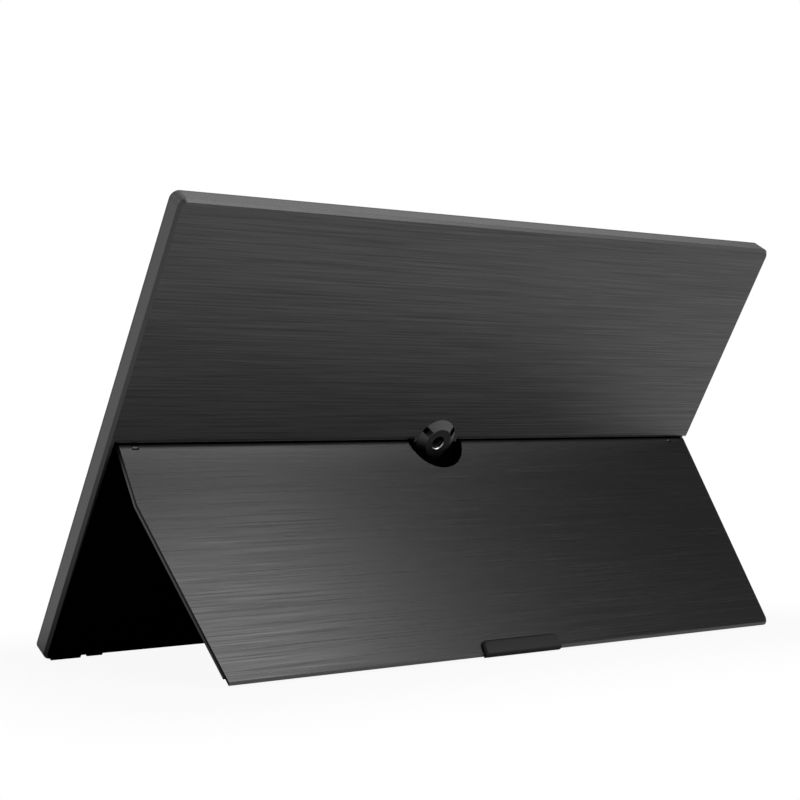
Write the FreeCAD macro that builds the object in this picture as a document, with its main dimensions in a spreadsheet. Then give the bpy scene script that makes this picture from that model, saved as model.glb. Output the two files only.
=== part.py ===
import FreeCAD
import Part
import Sketcher
import os

# Portable monitor that stands on a fold-out rear stand.
#
# Every piece of the panel is drawn in the panel's own axes: x runs along the width, y runs up the
# panel from its lower face, z runs from the rear face towards the screen.  Every piece of the stand
# is drawn folded shut, in those same axes.  The two frames at the end of the table of sizes then
# recline the panel and swing the stand out until the feet and the grip meet the table.

Vector = FreeCAD.Vector

SIZES = [
    ("corner_radius", 4.0, "rounding of the four housing corners"),
    ("rear_chamfer", 1.3, "bevel round the rear edge of the housing"),
    ("front_chamfer", 0.4, "bevel round the front edge of the bezel"),
    ("side_wall", 1.5, "thickness of the housing's side walls"),
    ("rear_wall", 1.2, "thickness of the upper rear wall"),
    ("step_wall", 1.5, "wall between the stand recess and the upper cavity"),
    ("recess_floor", 1.0, "thickness of the floor of the stand recess"),
    ("recess_gap", 0.4, "play between the folded stand and the housing behind it"),
    ("recess_rim", 2.85, "width of the rim beside the recess"),
    ("rim_corner", 18.85, "length of the full-depth rim at the lower corner"),
    ("cover_round", 2.5, "rounding of the upper cover's lower edge"),
    ("bezel_depth", 1.6, "depth of the bezel's outer wall"),
    ("bezel_face", 0.8, "thickness of the bezel's face"),
    ("view_width", 344.2, "width of the visible picture"),
    ("view_height", 193.6, "height of the visible picture"),
    ("view_bottom", 25.3, "height of the picture above the housing's lower face"),
    ("side_border", 7.75, "border of the housing beside the picture"),
    ("top_border", 8.5, "border of the housing above the picture"),
    ("view_margin", 0.4, "gap between the picture and the bezel's opening"),
    ("cell_border", 3.0, "margin of the display cell beside and above the picture"),
    ("cell_foot", 8.5, "margin of the display cell below the picture"),
    ("tape_width", 2.0, "width of the tape that holds the display cell"),
    ("tape_depth", 0.2, "thickness of that tape"),
    ("cell_depth", 1.0, "thickness of the display cell"),
    ("films_depth", 0.4, "thickness of the diffuser films"),
    ("guide_depth", 0.8, "thickness of the light guide"),
    ("reflector_depth", 0.2, "thickness of the reflector"),
    ("tray_floor", 0.3, "thickness of the display tray's floor"),
    ("tray_wall", 0.5, "thickness of the display tray's rim"),
    ("sheet_play", 0.2, "play of the sheets inside the tray"),
    ("led_height", 1.7, "height of the light bar"),
    ("pad_depth", 1.6, "thickness of the foam pads behind the tray"),
    ("pad_length", 44.0, "length of a foam pad"),
    ("pad_height", 12.0, "height of a foam pad"),
    ("pad_spread", 45.0, "distance of the pads from the middle"),
    ("pad_low", 38.0, "height of the lower pads' centre"),
    ("pad_high", 80.0, "height of the upper pads' centre"),
    ("stand_plate", 1.3, "thickness of the stand's outer plate"),
    ("stand_core", 0.6, "thickness of the stand's steel core"),
    ("stand_floor", 0.7, "thickness of the stand frame's floor"),
    ("stand_rim", 6.25, "distance of the stand's straight edge from the housing's side"),
    ("stand_straight", 28.0, "length of that straight edge below the hinge"),
    ("stand_slant", 17.4, "how far the slanted edge runs inwards"),
    ("stand_drop", 1.6, "how far the folded stand hangs below the housing"),
    ("stand_corner", 4.0, "rounding of the stand's lower corner"),
    ("stand_edge", 0.2, "flat left beside the bevel of the stand plate's lower and side edges"),
    ("plate_nose", 0.9, "height of the plate above the hinge axis"),
    ("frame_nose", 1.1, "height of the frame above the hinge axis"),
    ("nose_bevel", 0.7, "bevel of the frame's upper inner edge"),
    ("frame_lip", 0.5, "play between the stand frame and the housing's lower wall"),
    ("frame_wall", 4.0, "width of the stand frame round its core"),
    ("core_play", 0.2, "play of the core in the stand frame"),
    ("notch_radius", 16.9, "radius of the stand's notch round the tripod socket"),
    ("notch_offset", 1.2, "distance of the notch from the middle"),
    ("grip_width", 47.3, "width of the rubber grip"),
    ("grip_offset", 4.85, "distance of the grip from the middle"),
    ("grip_height", 7.0, "height of the grip on the plate"),
    ("grip_proud", 2.0, "how far the grip stands proud of the plate"),
    ("grip_web", 0.8, "thickness of the grip under the stand's lower edge"),
    ("grip_bevel", 1.0, "bevel round the grip"),
    ("grip_corner", 3.0, "rounding of the grip's upper corners"),
    ("hinge_height", 110.5, "height of the hinge axis on the panel"),
    ("cover_gap", 2.4, "distance of the upper cover's edge from the hinge axis"),
    ("hinge_inset", 7.6, "distance of the hinge ear from the stand's straight edge"),
    ("open_angle", 62.4, "angle of the stand as it stands on the table"),
    ("pin_radius", 0.6, "radius of the hinge pins"),
    ("pin_length", 13.6, "length of the hinge pins"),
    ("pin_play", 0.03, "running clearance of the pin in its ear"),
    ("ear_wall", 0.7, "wall of the hinge ear round the pin"),
    ("ear_width", 2.5, "width of the hinge ear"),
    ("ear_gap", 0.4, "clearance beside and below the ear in the stand"),
    ("ear_slot", 0.1, "clearance of the ear in the recess floor"),
    ("washer_gap", 0.15, "clearance between the friction washer and the ear"),
    ("washer_wall", 0.5, "radial width of the friction washer"),
    ("bracket_width", 24.0, "width of the hinge bracket"),
    ("bracket_drop", 14.0, "height of the bracket below the axis"),
    ("bracket_plate", 0.8, "thickness of the hinge bracket"),
    ("screw_radius", 0.8, "radius of the housing screws"),
    ("head_radius", 1.7, "radius of the housing screws' heads"),
    ("head_depth", 0.5, "depth of the housing screws' heads"),
    ("hinge_screw_spread", 7.5, "distance of the bracket screws from the ear"),
    ("hinge_screw_drop", 9.0, "distance of the bracket screws below the axis"),
    ("screw_tip", 0.2, "length of a bracket screw beyond the bracket"),
    ("case_screw_inset", 14.85, "distance of the outer case screws from the housing's side"),
    ("case_screw_pitch", 25.0, "distance of the inner case screws from the outer ones"),
    ("case_screw_height", 8.0, "height of the case screws above the lower face"),
    ("case_screw_length", 3.6, "length of a case screw below its head"),
    ("case_boss_wall", 1.4, "wall of the bezel's screw posts"),
    ("boss_rise", 0.5, "distance of the tripod socket above the cover's edge"),
    ("boss_base", 11.3, "radius of the socket housing at the rear face"),
    ("boss_top", 7.3, "radius of the socket housing's end"),
    ("boss_proud", 2.5, "how far the socket housing stands proud"),
    ("boss_play", 0.05, "play of the socket housing in the cover"),
    ("boss_slot", 3.3, "width of the slots in the socket housing"),
    ("boss_slot_angle", 35.0, "angle of those slots from the width direction"),
    ("boss_slot_depth", 1.0, "depth of those slots below the rear face"),
    ("seat_wall", 2.0, "wall of the cover round the socket housing"),
    ("seat_drop", 3.0, "how far that wall reaches below the cover's edge"),
    ("nut_radius", 5.2, "radius of the threaded socket"),
    ("nut_flange", 8.0, "radius of the socket's flange"),
    ("nut_flange_depth", 0.7, "thickness of the socket's flange"),
    ("thread_radius", 3.175, "radius of the tripod thread"),
    ("thread_depth", 6.0, "depth of the tripod thread"),
    ("thread_mouth", 0.4, "bevel at the mouth of the thread"),
    ("foot_width", 8.2, "width of a rubber foot"),
    ("foot_depth", 5.0, "depth of a rubber foot"),
    ("foot_proud", 1.2, "how far a rubber foot stands proud"),
    ("foot_seat", 0.7, "depth of a foot's pocket"),
    ("foot_setback", 1.7, "distance of a foot from the rear face"),
    ("foot_inset", 27.2, "distance of a foot's centre from the housing's side"),
    ("board_gap", 1.4, "room between the main board and the display tray"),
    ("board_depth", 0.8, "thickness of the main board"),
    ("board_width", 62.0, "width of the main board"),
    ("board_inset", 2.5, "distance of the main board from the side wall"),
    ("board_lift", 2.0, "height of the main board above the step wall"),
    ("board_drop", 14.0, "distance of the main board below the top wall"),
    ("post_inset", 4.0, "distance of the board's posts from its edges"),
    ("post_radius", 2.4, "radius of the board's posts"),
    ("board_screw_radius", 0.7, "radius of the board's screws"),
    ("board_screw_head", 1.6, "radius of their heads"),
    ("board_head_depth", 0.7, "depth of their heads"),
    ("board_screw_grip", 1.2, "length of those screws in the posts"),
    ("chip_size", 14.0, "edge of the picture controller"),
    ("chip_depth", 1.0, "thickness of the chips"),
    ("chip_small", 5.0, "edge of the power chips"),
    ("shield_margin", 4.0, "margin of the shield round the controller"),
    ("shield_depth", 1.5, "height of the shield"),
    ("shield_wall", 0.2, "thickness of the shield"),
    ("socket_width", 8.94, "width of the data socket"),
    ("socket_height", 3.26, "height of the data socket"),
    ("socket_wall", 0.3, "thickness of the socket's shell"),
    ("socket_length", 8.0, "length of the data socket"),
    ("socket_recess", 0.4, "how far the socket's mouth lies inside the wall"),
    ("socket_play", 0.15, "play round the socket"),
    ("socket_lift", 15.0, "height of the socket above the board's lower edge"),
    ("socket_back", 2.0, "depth of the block at the back of the socket"),
    ("tongue_width", 6.7, "width of the socket's tongue"),
    ("tongue_height", 0.7, "thickness of the socket's tongue"),
    ("tongue_setback", 1.0, "distance of the tongue from the socket's mouth"),
    ("button_length", 7.0, "length of a button"),
    ("button_height", 2.4, "height of a button"),
    ("button_proud", 0.4, "how far a button stands proud"),
    ("button_play", 0.2, "play round a button"),
    ("button_flange", 0.6, "overlap of a button's flange behind the wall"),
    ("button_flange_depth", 0.7, "thickness of that flange"),
    ("button_rest", 0.15, "play between the flange and the wall"),
    ("button_travel", 0.4, "travel of a button"),
    ("button_first", 13.0, "distance of the lowest button from the data socket"),
    ("button_pitch", 11.0, "distance between the buttons"),
    ("power_gap", 14.0, "distance of the power button from its neighbour"),
    ("switch_gap", 0.1, "play between a pressed button and its switch"),
    ("switch_width", 3.8, "width of a switch"),
    ("switch_length", 2.9, "length of a switch"),
    ("switch_height", 1.8, "height of a switch"),
    ("plunger_length", 0.6, "length of a switch's plunger"),
    ("plunger_width", 2.0, "width of a switch's plunger"),
    ("driver_gap", 9.8, "distance of the display's driver board from the screw posts"),
    ("driver_height", 9.0, "height of the driver board"),
    ("driver_depth", 0.6, "thickness of the driver board"),
    ("driver_bottom", 4.5, "height of the driver board above the lower face"),
    ("flex_width", 30.0, "width of a display film lead"),
    ("flex_depth", 0.2, "thickness of a display film lead"),
    ("flex_margin", 23.0, "distance of the outer film leads from the driver board's ends"),
    ("flex_foot", 3.0, "length of a film lead on the driver board"),
    ("flex_gap", 1.0, "distance of the film leads from the display tray"),
    ("cable_width", 12.0, "width of the flat cable"),
    ("cable_depth", 0.2, "thickness of the flat cable"),
    ("cable_gap", 0.3, "distance of the flat cable from the display tray"),
    ("cable_inset", 30.0, "distance of the cable's upper end from the main board's inner edge"),
    ("cable_clear", 3.0, "distance of the cable from the outer film lead"),
    ("plug_length", 5.0, "length of the cable's connectors"),
    ("plug_margin", 1.0, "margin of the connectors beside the cable"),
    ("plug_lift", 6.0, "height of the upper connector above the board's lower edge"),
]

doc = FreeCAD.newDocument("portable_monitor")
sheet = doc.addObject("Spreadsheet::Sheet", "Dim")
for row, (alias, number, note) in enumerate(SIZES, start=1):
    sheet.set("A%d" % row, note)
    sheet.set("B%d" % row, str(number))
    sheet.setAlias("B%d" % row, alias)
doc.recompute()

# Places that several pieces share, as formulas over the sheet.
HALF = "(Dim.view_width / 2 + Dim.side_border)"
BODY_TOP = "(Dim.view_bottom + Dim.view_height + Dim.top_border)"
STAND_Z = "(Dim.stand_plate + Dim.stand_core + Dim.stand_floor)"
RECESS_Z = "(%s + Dim.recess_gap)" % STAND_Z
LIP_Z = "(Dim.stand_plate + Dim.recess_gap)"
FLOOR_Z = "(%s + Dim.recess_floor)" % RECESS_Z
TRAY_Z = "(%s + Dim.pad_depth)" % FLOOR_Z
REFLECTOR_Z = "(%s + Dim.tray_floor)" % TRAY_Z
GUIDE_Z = "(%s + Dim.reflector_depth)" % REFLECTOR_Z
FILMS_Z = "(%s + Dim.guide_depth)" % GUIDE_Z
CELL_Z = "(%s + Dim.films_depth)" % FILMS_Z
TAPE_Z = "(%s + Dim.cell_depth)" % CELL_Z
FACE_Z = "(%s + Dim.tape_depth)" % TAPE_Z
FRONT_Z = "(%s + Dim.bezel_face)" % FACE_Z
SEAM_Z = "(%s - Dim.bezel_depth)" % FRONT_Z

INNER = "(%s - Dim.side_wall)" % HALF
INNER_TOP = "(%s - Dim.side_wall)" % BODY_TOP
RECESS_TOP = "(Dim.hinge_height + Dim.cover_gap)"
CAVITY_LOW = "(%s + Dim.step_wall)" % RECESS_TOP

VIEW_SIDE = "(Dim.view_width / 2)"
VIEW_TOP = "(Dim.view_bottom + Dim.view_height)"
CELL_SIDE = "(%s + Dim.cell_border)" % VIEW_SIDE
CELL_LOW = "(Dim.view_bottom - Dim.cell_foot)"
CELL_TOP = "(%s + Dim.cell_border)" % VIEW_TOP
SHEET_SIDE = "(%s - Dim.tray_wall - Dim.sheet_play)" % CELL_SIDE
SHEET_LOW = "(%s + Dim.tray_wall + Dim.sheet_play)" % CELL_LOW
SHEET_TOP = "(%s - Dim.tray_wall - Dim.sheet_play)" % CELL_TOP
GUIDE_LOW = "(%s + Dim.led_height + Dim.sheet_play)" % SHEET_LOW

AXIS_Z = "(%s / 2)" % STAND_Z
STAND_SIDE = "(%s - Dim.stand_rim)" % HALF
STAND_TURN = "(Dim.hinge_height - Dim.stand_straight)"
STAND_LOW = "(-Dim.stand_drop)"
FRAME_LOW = "(Dim.side_wall + Dim.frame_lip)"
SLANT_RATE = "(Dim.stand_slant / (%s + Dim.stand_drop))" % STAND_TURN
FRAME_LOW_SIDE = "(%s - %s * (%s - %s))" % (STAND_SIDE, SLANT_RATE, STAND_TURN, FRAME_LOW)
HINGE_X = "(%s - Dim.hinge_inset)" % STAND_SIDE
EAR_RADIUS = "(Dim.pin_radius + Dim.ear_wall)"
BRACKET_Z = "(%s + Dim.bracket_plate)" % FLOOR_Z
BOSS_Y = "(%s + Dim.boss_rise)" % RECESS_TOP
CORE_SIDE = "(%s - Dim.stand_slant - Dim.frame_wall)" % STAND_SIDE
CORE_LOW = "(%s + Dim.frame_wall)" % FRAME_LOW
CORE_TOP = "(%s - Dim.notch_radius - Dim.frame_wall)" % BOSS_Y
CORE_Z = "(Dim.stand_plate + Dim.stand_core)"

BOARD_FRONT = "(%s - Dim.board_gap)" % TRAY_Z
BOARD_REAR = "(%s - Dim.board_depth)" % BOARD_FRONT
BOARD_OUT = "(%s - Dim.board_inset)" % INNER
BOARD_IN = "(%s - Dim.board_width)" % BOARD_OUT
BOARD_LOW = "(%s + Dim.board_lift)" % CAVITY_LOW
BOARD_TOP = "(%s - Dim.board_drop)" % INNER_TOP
SIDE_Z = "((Dim.rear_wall + %s) / 2)" % TRAY_Z
SOCKET_Y = "(%s + Dim.socket_lift)" % BOARD_LOW
MOUTH_X = "(%s - Dim.socket_recess)" % HALF
SOCKET_END = "(%s - Dim.socket_length)" % MOUTH_X
FLANGE_OUT = "(%s - Dim.button_rest)" % INNER
FLANGE_IN = "(%s - Dim.button_flange_depth)" % FLANGE_OUT
PLUNGER_OUT = "(%s - Dim.button_travel - Dim.switch_gap)" % FLANGE_IN
SWITCH_OUT = "(%s - Dim.plunger_length)" % PLUNGER_OUT
SWITCH_IN = "(%s - Dim.switch_length)" % SWITCH_OUT
CHIP_X = "((%s + %s) / 2)" % (BOARD_OUT, BOARD_IN)
CHIP_Y = "((%s + %s) / 2)" % (BOARD_LOW, BOARD_TOP)
CABLE_Z = "(%s - Dim.cable_gap - Dim.cable_depth)" % TRAY_Z
CABLE_END = "(%s + Dim.cable_inset)" % BOARD_IN
SCREW_OUTER = "(%s - Dim.case_screw_inset)" % HALF
SCREW_INNER = "(%s - Dim.case_screw_pitch)" % SCREW_OUTER
DRIVER_SIDE = "(%s - Dim.screw_radius - Dim.case_boss_wall - Dim.driver_gap)" % SCREW_INNER
LEAD_SIDE = "(%s - Dim.flex_margin - Dim.flex_width / 2)" % DRIVER_SIDE
CABLE_X = "(%s + Dim.flex_width / 2 + Dim.cable_clear + Dim.cable_width / 2)" % LEAD_SIDE
DRIVER_Z = "(%s + Dim.driver_depth)" % FLOOR_Z
DRIVER_TOP = "(Dim.driver_bottom + Dim.driver_height)"
FLEX_Y = "(%s - Dim.flex_gap - Dim.flex_depth)" % CELL_LOW
FLEX_Z = "(%s + (Dim.cell_depth - Dim.flex_depth) / 2)" % CELL_Z

BUTTONS = [
    ("down_button", "(%s + Dim.button_first)" % SOCKET_Y),
    ("up_button", "(%s + Dim.button_first + Dim.button_pitch)" % SOCKET_Y),
    ("menu_button", "(%s + Dim.button_first + 2 * Dim.button_pitch)" % SOCKET_Y),
    ("power_button", "(%s + Dim.button_first + 2 * Dim.button_pitch + Dim.power_gap)" % SOCKET_Y),
]

pieces = []


def minus(formula):
    """The negative of a formula, for what lies on the socket side of the housing."""
    return "(-%s)" % formula


def number(formula):
    """The present value of a formula over the sheet."""
    return float(sheet.evalExpression(formula))


def named(obj, label, frame):
    """Gives a finished piece its name and seats it in the panel's or the stand's frame."""
    obj.Label = label
    obj.setExpression("Placement", "%s.Placement" % frame)
    pieces.append(obj)
    return obj


def box(name, x_range, y_range, z_range):
    """A box between two formulas along each axis."""
    obj = doc.addObject("Part::Box", name)
    for side, axis, (low, high) in (
        ("Length", "x", x_range),
        ("Width", "y", y_range),
        ("Height", "z", z_range),
    ):
        obj.setExpression(side, "%s - %s" % (high, low))
        obj.setExpression("Placement.Base.%s" % axis, low)
    return obj


def rod_z(name, x, y, z_range, radius):
    """A cylinder through the depth of the panel."""
    obj = doc.addObject("Part::Cylinder", name)
    obj.setExpression("Radius", radius)
    obj.setExpression("Height", "%s - %s" % (z_range[1], z_range[0]))
    obj.setExpression("Placement.Base.x", x)
    obj.setExpression("Placement.Base.y", y)
    obj.setExpression("Placement.Base.z", z_range[0])
    return obj


def rod_x(name, x_range, y, z, radius):
    """A cylinder along the width of the panel."""
    obj = doc.addObject("Part::Cylinder", name)
    obj.Placement = FreeCAD.Placement(Vector(0, 0, 0), FreeCAD.Rotation(Vector(0, 1, 0), 90))
    obj.setExpression("Radius", radius)
    obj.setExpression("Height", "%s - %s" % (x_range[1], x_range[0]))
    obj.setExpression("Placement.Base.x", x_range[0])
    obj.setExpression("Placement.Base.y", y)
    obj.setExpression("Placement.Base.z", z)
    return obj


def fuse(name, shapes):
    """One solid from several."""
    obj = doc.addObject("Part::MultiFuse", name)
    obj.Shapes = shapes
    obj.Refine = True
    return obj


def cut(name, base, tools):
    """A solid less one or more others."""
    obj = doc.addObject("Part::Cut", name)
    obj.Base = base
    obj.Tool = tools[0] if len(tools) == 1 else fuse(name + "_tools", tools)
    obj.Refine = True
    return obj


def group(name, shapes):
    """Separate like solids that share one name."""
    obj = doc.addObject("Part::Compound", name)
    obj.Links = shapes
    return obj


def oblong(name, x_range, y, z, length, height):
    """A bar along the width with a round-ended section."""
    half_run = "((%s - %s) / 2)" % (length, height)
    radius = "(%s / 2)" % height
    low = "(%s - %s)" % (y, half_run)
    high = "(%s + %s)" % (y, half_run)
    middle = box(name + "_middle", x_range, (low, high),
                 ("(%s - %s)" % (z, radius), "(%s + %s)" % (z, radius)))
    lower = rod_x(name + "_low", x_range, low, z, radius)
    upper = rod_x(name + "_high", x_range, high, z, radius)
    return fuse(name, [middle, lower, upper])


def new_body(name):
    """An empty body at the panel's origin."""
    return doc.addObject("PartDesign::Body", name)


def new_sketch(body, name, level):
    """A sketch across the panel at a given depth."""
    plane = [item for item in body.Origin.OriginFeatures if item.Role == "XY_Plane"][0]
    sketch = body.newObject("Sketcher::SketchObject", name)
    sketch.AttachmentSupport = [(plane, "")]
    sketch.MapMode = "FlatFace"
    sketch.setExpression("AttachmentOffset.Base.z", level)
    return sketch


def hold(sketch, kind, geometry, point, formula, name):
    """Ties one coordinate of a sketched point to a formula."""
    rule = Sketcher.Constraint(kind, -1, 1, geometry, point, number(formula))
    index = sketch.addConstraint(rule)
    sketch.renameConstraint(index, name)
    sketch.setExpression("Constraints." + name, formula)


def draw_outline(sketch, corners):
    """A closed outline through corners given as pairs of formulas."""
    points = [Vector(number(x), number(y), 0) for x, y in corners]
    count = len(points)
    for index in range(count):
        sketch.addGeometry(Part.LineSegment(points[index], points[(index + 1) % count]))
    for index in range(count):
        sketch.addConstraint(Sketcher.Constraint("Coincident", index, 2, (index + 1) % count, 1))
    for index, (x, y) in enumerate(corners):
        hold(sketch, "DistanceX", index, 1, x, "across_%d" % index)
        hold(sketch, "DistanceY", index, 1, y, "upwards_%d" % index)


def draw_circles(sketch, centres, radius):
    """Equal circles about centres given as pairs of formulas."""
    for index, (x, y) in enumerate(centres):
        centre = Vector(number(x), number(y), 0)
        sketch.addGeometry(Part.Circle(centre, Vector(0, 0, 1), number(radius)))
        hold(sketch, "DistanceX", index, 3, x, "across_%d" % index)
        hold(sketch, "DistanceY", index, 3, y, "upwards_%d" % index)
        rule = sketch.addConstraint(Sketcher.Constraint("Radius", index, number(radius)))
        sketch.renameConstraint(rule, "radius_%d" % index)
        sketch.setExpression("Constraints.radius_%d" % index, radius)


def rectangle(x_range, y_range):
    """The corners of an upright rectangle."""
    left, right = x_range
    low, high = y_range
    return [(left, low), (right, low), (right, high), (left, high)]


def pad(body, sketch, low, high):
    """Adds the sketched outline between two depths."""
    feature = body.newObject("PartDesign::Pad", sketch.Name + "_pad")
    feature.Profile = sketch
    feature.setExpression("Length", "%s - %s" % (high, low))
    doc.recompute()
    return feature


def pocket(body, sketch, low, high):
    """Removes the sketched outline, which lies at the higher depth, down to the lower one."""
    before = body.Shape.Volume
    feature = body.newObject("PartDesign::Pocket", sketch.Name + "_pocket")
    feature.Profile = sketch
    feature.setExpression("Length", "%s - %s" % (high, low))
    doc.recompute()
    if body.Shape.Volume >= before:
        raise RuntimeError(sketch.Name + " removes nothing")
    return feature


def add_plate(body, name, corners, low, high):
    """Adds a plate with the given corners between two depths."""
    sketch = new_sketch(body, name, low)
    draw_outline(sketch, corners)
    return pad(body, sketch, low, high)


def sink(body, name, corners, low, high):
    """Removes a pocket with the given corners between two depths."""
    sketch = new_sketch(body, name, high)
    draw_outline(sketch, corners)
    return pocket(body, sketch, low, high)


def add_posts(body, name, centres, radius, low, high):
    """Adds round posts between two depths."""
    sketch = new_sketch(body, name, low)
    draw_circles(sketch, centres, radius)
    return pad(body, sketch, low, high)


def drill(body, name, centres, radius, low, high):
    """Removes round holes between two depths."""
    sketch = new_sketch(body, name, high)
    draw_circles(sketch, centres, radius)
    return pocket(body, sketch, low, high)


def edges_where(feature, wanted):
    """Names of the edges whose every end meets a condition."""
    names = []
    for index, edge in enumerate(feature.Shape.Edges, start=1):
        if all(wanted(vertex.Point) for vertex in edge.Vertexes):
            names.append("Edge%d" % index)
    return names


def upright_edges(feature, wanted):
    """Names of the edges through the depth whose place meets a condition."""
    names = []
    for index, edge in enumerate(feature.Shape.Edges, start=1):
        start, end = edge.Vertexes[0].Point, edge.Vertexes[-1].Point
        along = abs(start.x - end.x) + abs(start.y - end.y)
        if along < 1e-6 and abs(start.z - end.z) > 1e-6 and wanted(start):
            names.append("Edge%d" % index)
    return names


def rounded(body, feature, edges, radius):
    """Rounds edges of a body's last feature."""
    obj = body.newObject("PartDesign::Fillet", feature.Name + "_round")
    obj.Base = (feature, edges)
    obj.setExpression("Radius", radius)
    doc.recompute()
    return obj


def bevelled(body, feature, edges, size):
    """Bevels edges of a body's last feature."""
    obj = body.newObject("PartDesign::Chamfer", feature.Name + "_bevel")
    obj.Base = (feature, edges)
    obj.setExpression("Size", size)
    doc.recompute()
    return obj


def near(value, formula):
    """Whether a coordinate lies at a formula's value."""
    return abs(value - number(formula)) < 1e-4


def plain_plate(label, corners, low, high, frame="PanelFrame"):
    """A flat piece of its own."""
    body = new_body(label)
    add_plate(body, label + "_outline", corners, low, high)
    return named(body, label, frame)


def both_sides(x, y):
    """A place and its mirror image across the middle."""
    return [(x, y), (minus(x), y)]


# The panel reclines until its rubber feet and the open stand's grip share the table.
FOOT_Y = "(-Dim.foot_proud)"
FOOT_Z = "Dim.foot_setback"
GRIP_ARM_Y = "(%s - Dim.grip_web - Dim.hinge_height)" % STAND_LOW
GRIP_ARM_Z = "(Dim.stand_plate - %s)" % AXIS_Z
SWING = "(Dim.open_angle * 1 deg)"
GRIP_Y = "(Dim.hinge_height + %s * cos(%s) - %s * sin(%s))" % (GRIP_ARM_Y, SWING, GRIP_ARM_Z, SWING)
GRIP_Z = "(%s + %s * sin(%s) + %s * cos(%s))" % (AXIS_Z, GRIP_ARM_Y, SWING, GRIP_ARM_Z, SWING)
RECLINE = "atan2(%s - %s; %s - %s)" % (GRIP_Y, FOOT_Y, FOOT_Z, GRIP_Z)
PANEL_TURN = "(90 deg - %s)" % RECLINE
STAND_TURN_ANGLE = "(%s + %s)" % (PANEL_TURN, SWING)

# The origin lies on the table, midway between the bezel's lower edge and the back of the grip.
FRONT_REACH = "(Dim.front_chamfer * cos(%s) - %s * sin(%s))" % (PANEL_TURN, FRONT_Z, PANEL_TURN)
AXIS_REACH = "(Dim.hinge_height * cos(%s) - %s * sin(%s))" % (PANEL_TURN, AXIS_Z, PANEL_TURN)
BACK_REACH = "(%s + (%s + Dim.grip_bevel) * cos(%s) + (Dim.grip_proud + %s) * sin(%s))" % (
    AXIS_REACH, GRIP_ARM_Y, STAND_TURN_ANGLE, AXIS_Z, STAND_TURN_ANGLE)

panel_frame = doc.addObject("App::Placement", "PanelFrame")
panel_frame.Placement = FreeCAD.Placement(Vector(0, 0, 0), FreeCAD.Rotation(Vector(1, 0, 0), 60))
panel_frame.setExpression("Placement.Rotation.Angle", PANEL_TURN)
panel_frame.setExpression("Placement.Base.y", "-(%s + %s) / 2" % (FRONT_REACH, BACK_REACH))
panel_frame.setExpression(
    "Placement.Base.z",
    "-(%s * sin(%s) + %s * cos(%s))" % (FOOT_Y, PANEL_TURN, FOOT_Z, PANEL_TURN))

stand_frame = doc.addObject("App::Placement", "StandFrame")
stand_frame.Placement = FreeCAD.Placement(Vector(0, 0, 0), FreeCAD.Rotation(Vector(1, 0, 0), 120))
stand_frame.setExpression("Placement.Rotation.Angle", STAND_TURN_ANGLE)
stand_frame.setExpression(
    "Placement.Base.y",
    "PanelFrame.Placement.Base.y + 1 mm * (Dim.hinge_height * (cos(%s) - cos(%s))"
    " - %s * (sin(%s) - sin(%s)))"
    % (PANEL_TURN, STAND_TURN_ANGLE, AXIS_Z, PANEL_TURN, STAND_TURN_ANGLE))
stand_frame.setExpression(
    "Placement.Base.z",
    "PanelFrame.Placement.Base.z + 1 mm * (Dim.hinge_height * (sin(%s) - sin(%s))"
    " + %s * (cos(%s) - cos(%s)))"
    % (PANEL_TURN, STAND_TURN_ANGLE, AXIS_Z, PANEL_TURN, STAND_TURN_ANGLE))
doc.recompute()

HINGE_PLACES = both_sides(HINGE_X, "Dim.hinge_height")
HINGE_SCREW_Y = "(Dim.hinge_height - Dim.hinge_screw_drop)"
HINGE_SCREWS = [
    ("(%s + Dim.hinge_screw_spread)" % x, HINGE_SCREW_Y) for x, _ in HINGE_PLACES
] + [
    ("(%s - Dim.hinge_screw_spread)" % x, HINGE_SCREW_Y) for x, _ in HINGE_PLACES
]
CASE_SCREWS = (both_sides(SCREW_INNER, "Dim.case_screw_height")
               + both_sides(SCREW_OUTER, "Dim.case_screw_height"))
POST_X = ["(-%s + Dim.post_inset)" % BOARD_OUT, "(-%s - Dim.post_inset)" % BOARD_IN]
POST_Y = ["(%s + Dim.post_inset)" % BOARD_LOW, "(%s - Dim.post_inset)" % BOARD_TOP]
BOARD_POSTS = [(x, y) for x in POST_X for y in POST_Y]
FEET = both_sides("(%s - Dim.foot_inset)" % HALF, FOOT_Y)
HEAD_Z = "(%s + Dim.head_depth)" % RECESS_Z
BOARD_HOLE_Z = "(%s - Dim.board_screw_grip)" % BOARD_REAR

# Rear cover: a tray with a bevelled rear edge, deep behind the boards and shallow behind the stand.
shell = new_body("rear_shell")
outline = add_plate(shell, "rear_outline", rectangle((minus(HALF), HALF), ("0", BODY_TOP)),
                    "0", SEAM_Z)
outline = rounded(shell, outline, upright_edges(outline, lambda p: True), "Dim.corner_radius")
outline = bevelled(shell, outline, edges_where(outline, lambda p: near(p.z, "0")), "Dim.rear_chamfer")
sink(shell, "main_cavity", rectangle((minus(INNER), INNER), ("Dim.side_wall", INNER_TOP)),
     FLOOR_Z, SEAM_Z)
sink(shell, "upper_cavity", rectangle((minus(INNER), INNER), (CAVITY_LOW, INNER_TOP)),
     "Dim.rear_wall", FLOOR_Z)
OPEN_SIDE = "(-%s - Dim.side_wall)" % HALF
recess = sink(shell, "stand_recess",
              rectangle((OPEN_SIDE, "(%s - Dim.recess_rim)" % HALF), ("Dim.side_wall", RECESS_TOP)),
              "(-Dim.side_wall)", RECESS_Z)
recess = rounded(shell, recess,
                 edges_where(recess, lambda p: near(p.z, "0") and near(p.y, RECESS_TOP)),
                 "Dim.cover_round")
sink(shell, "lower_lip",
     rectangle((OPEN_SIDE, "(%s - Dim.rim_corner)" % HALF), ("(-Dim.side_wall)", "Dim.side_wall")),
     "(-Dim.side_wall)", LIP_Z)
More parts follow.
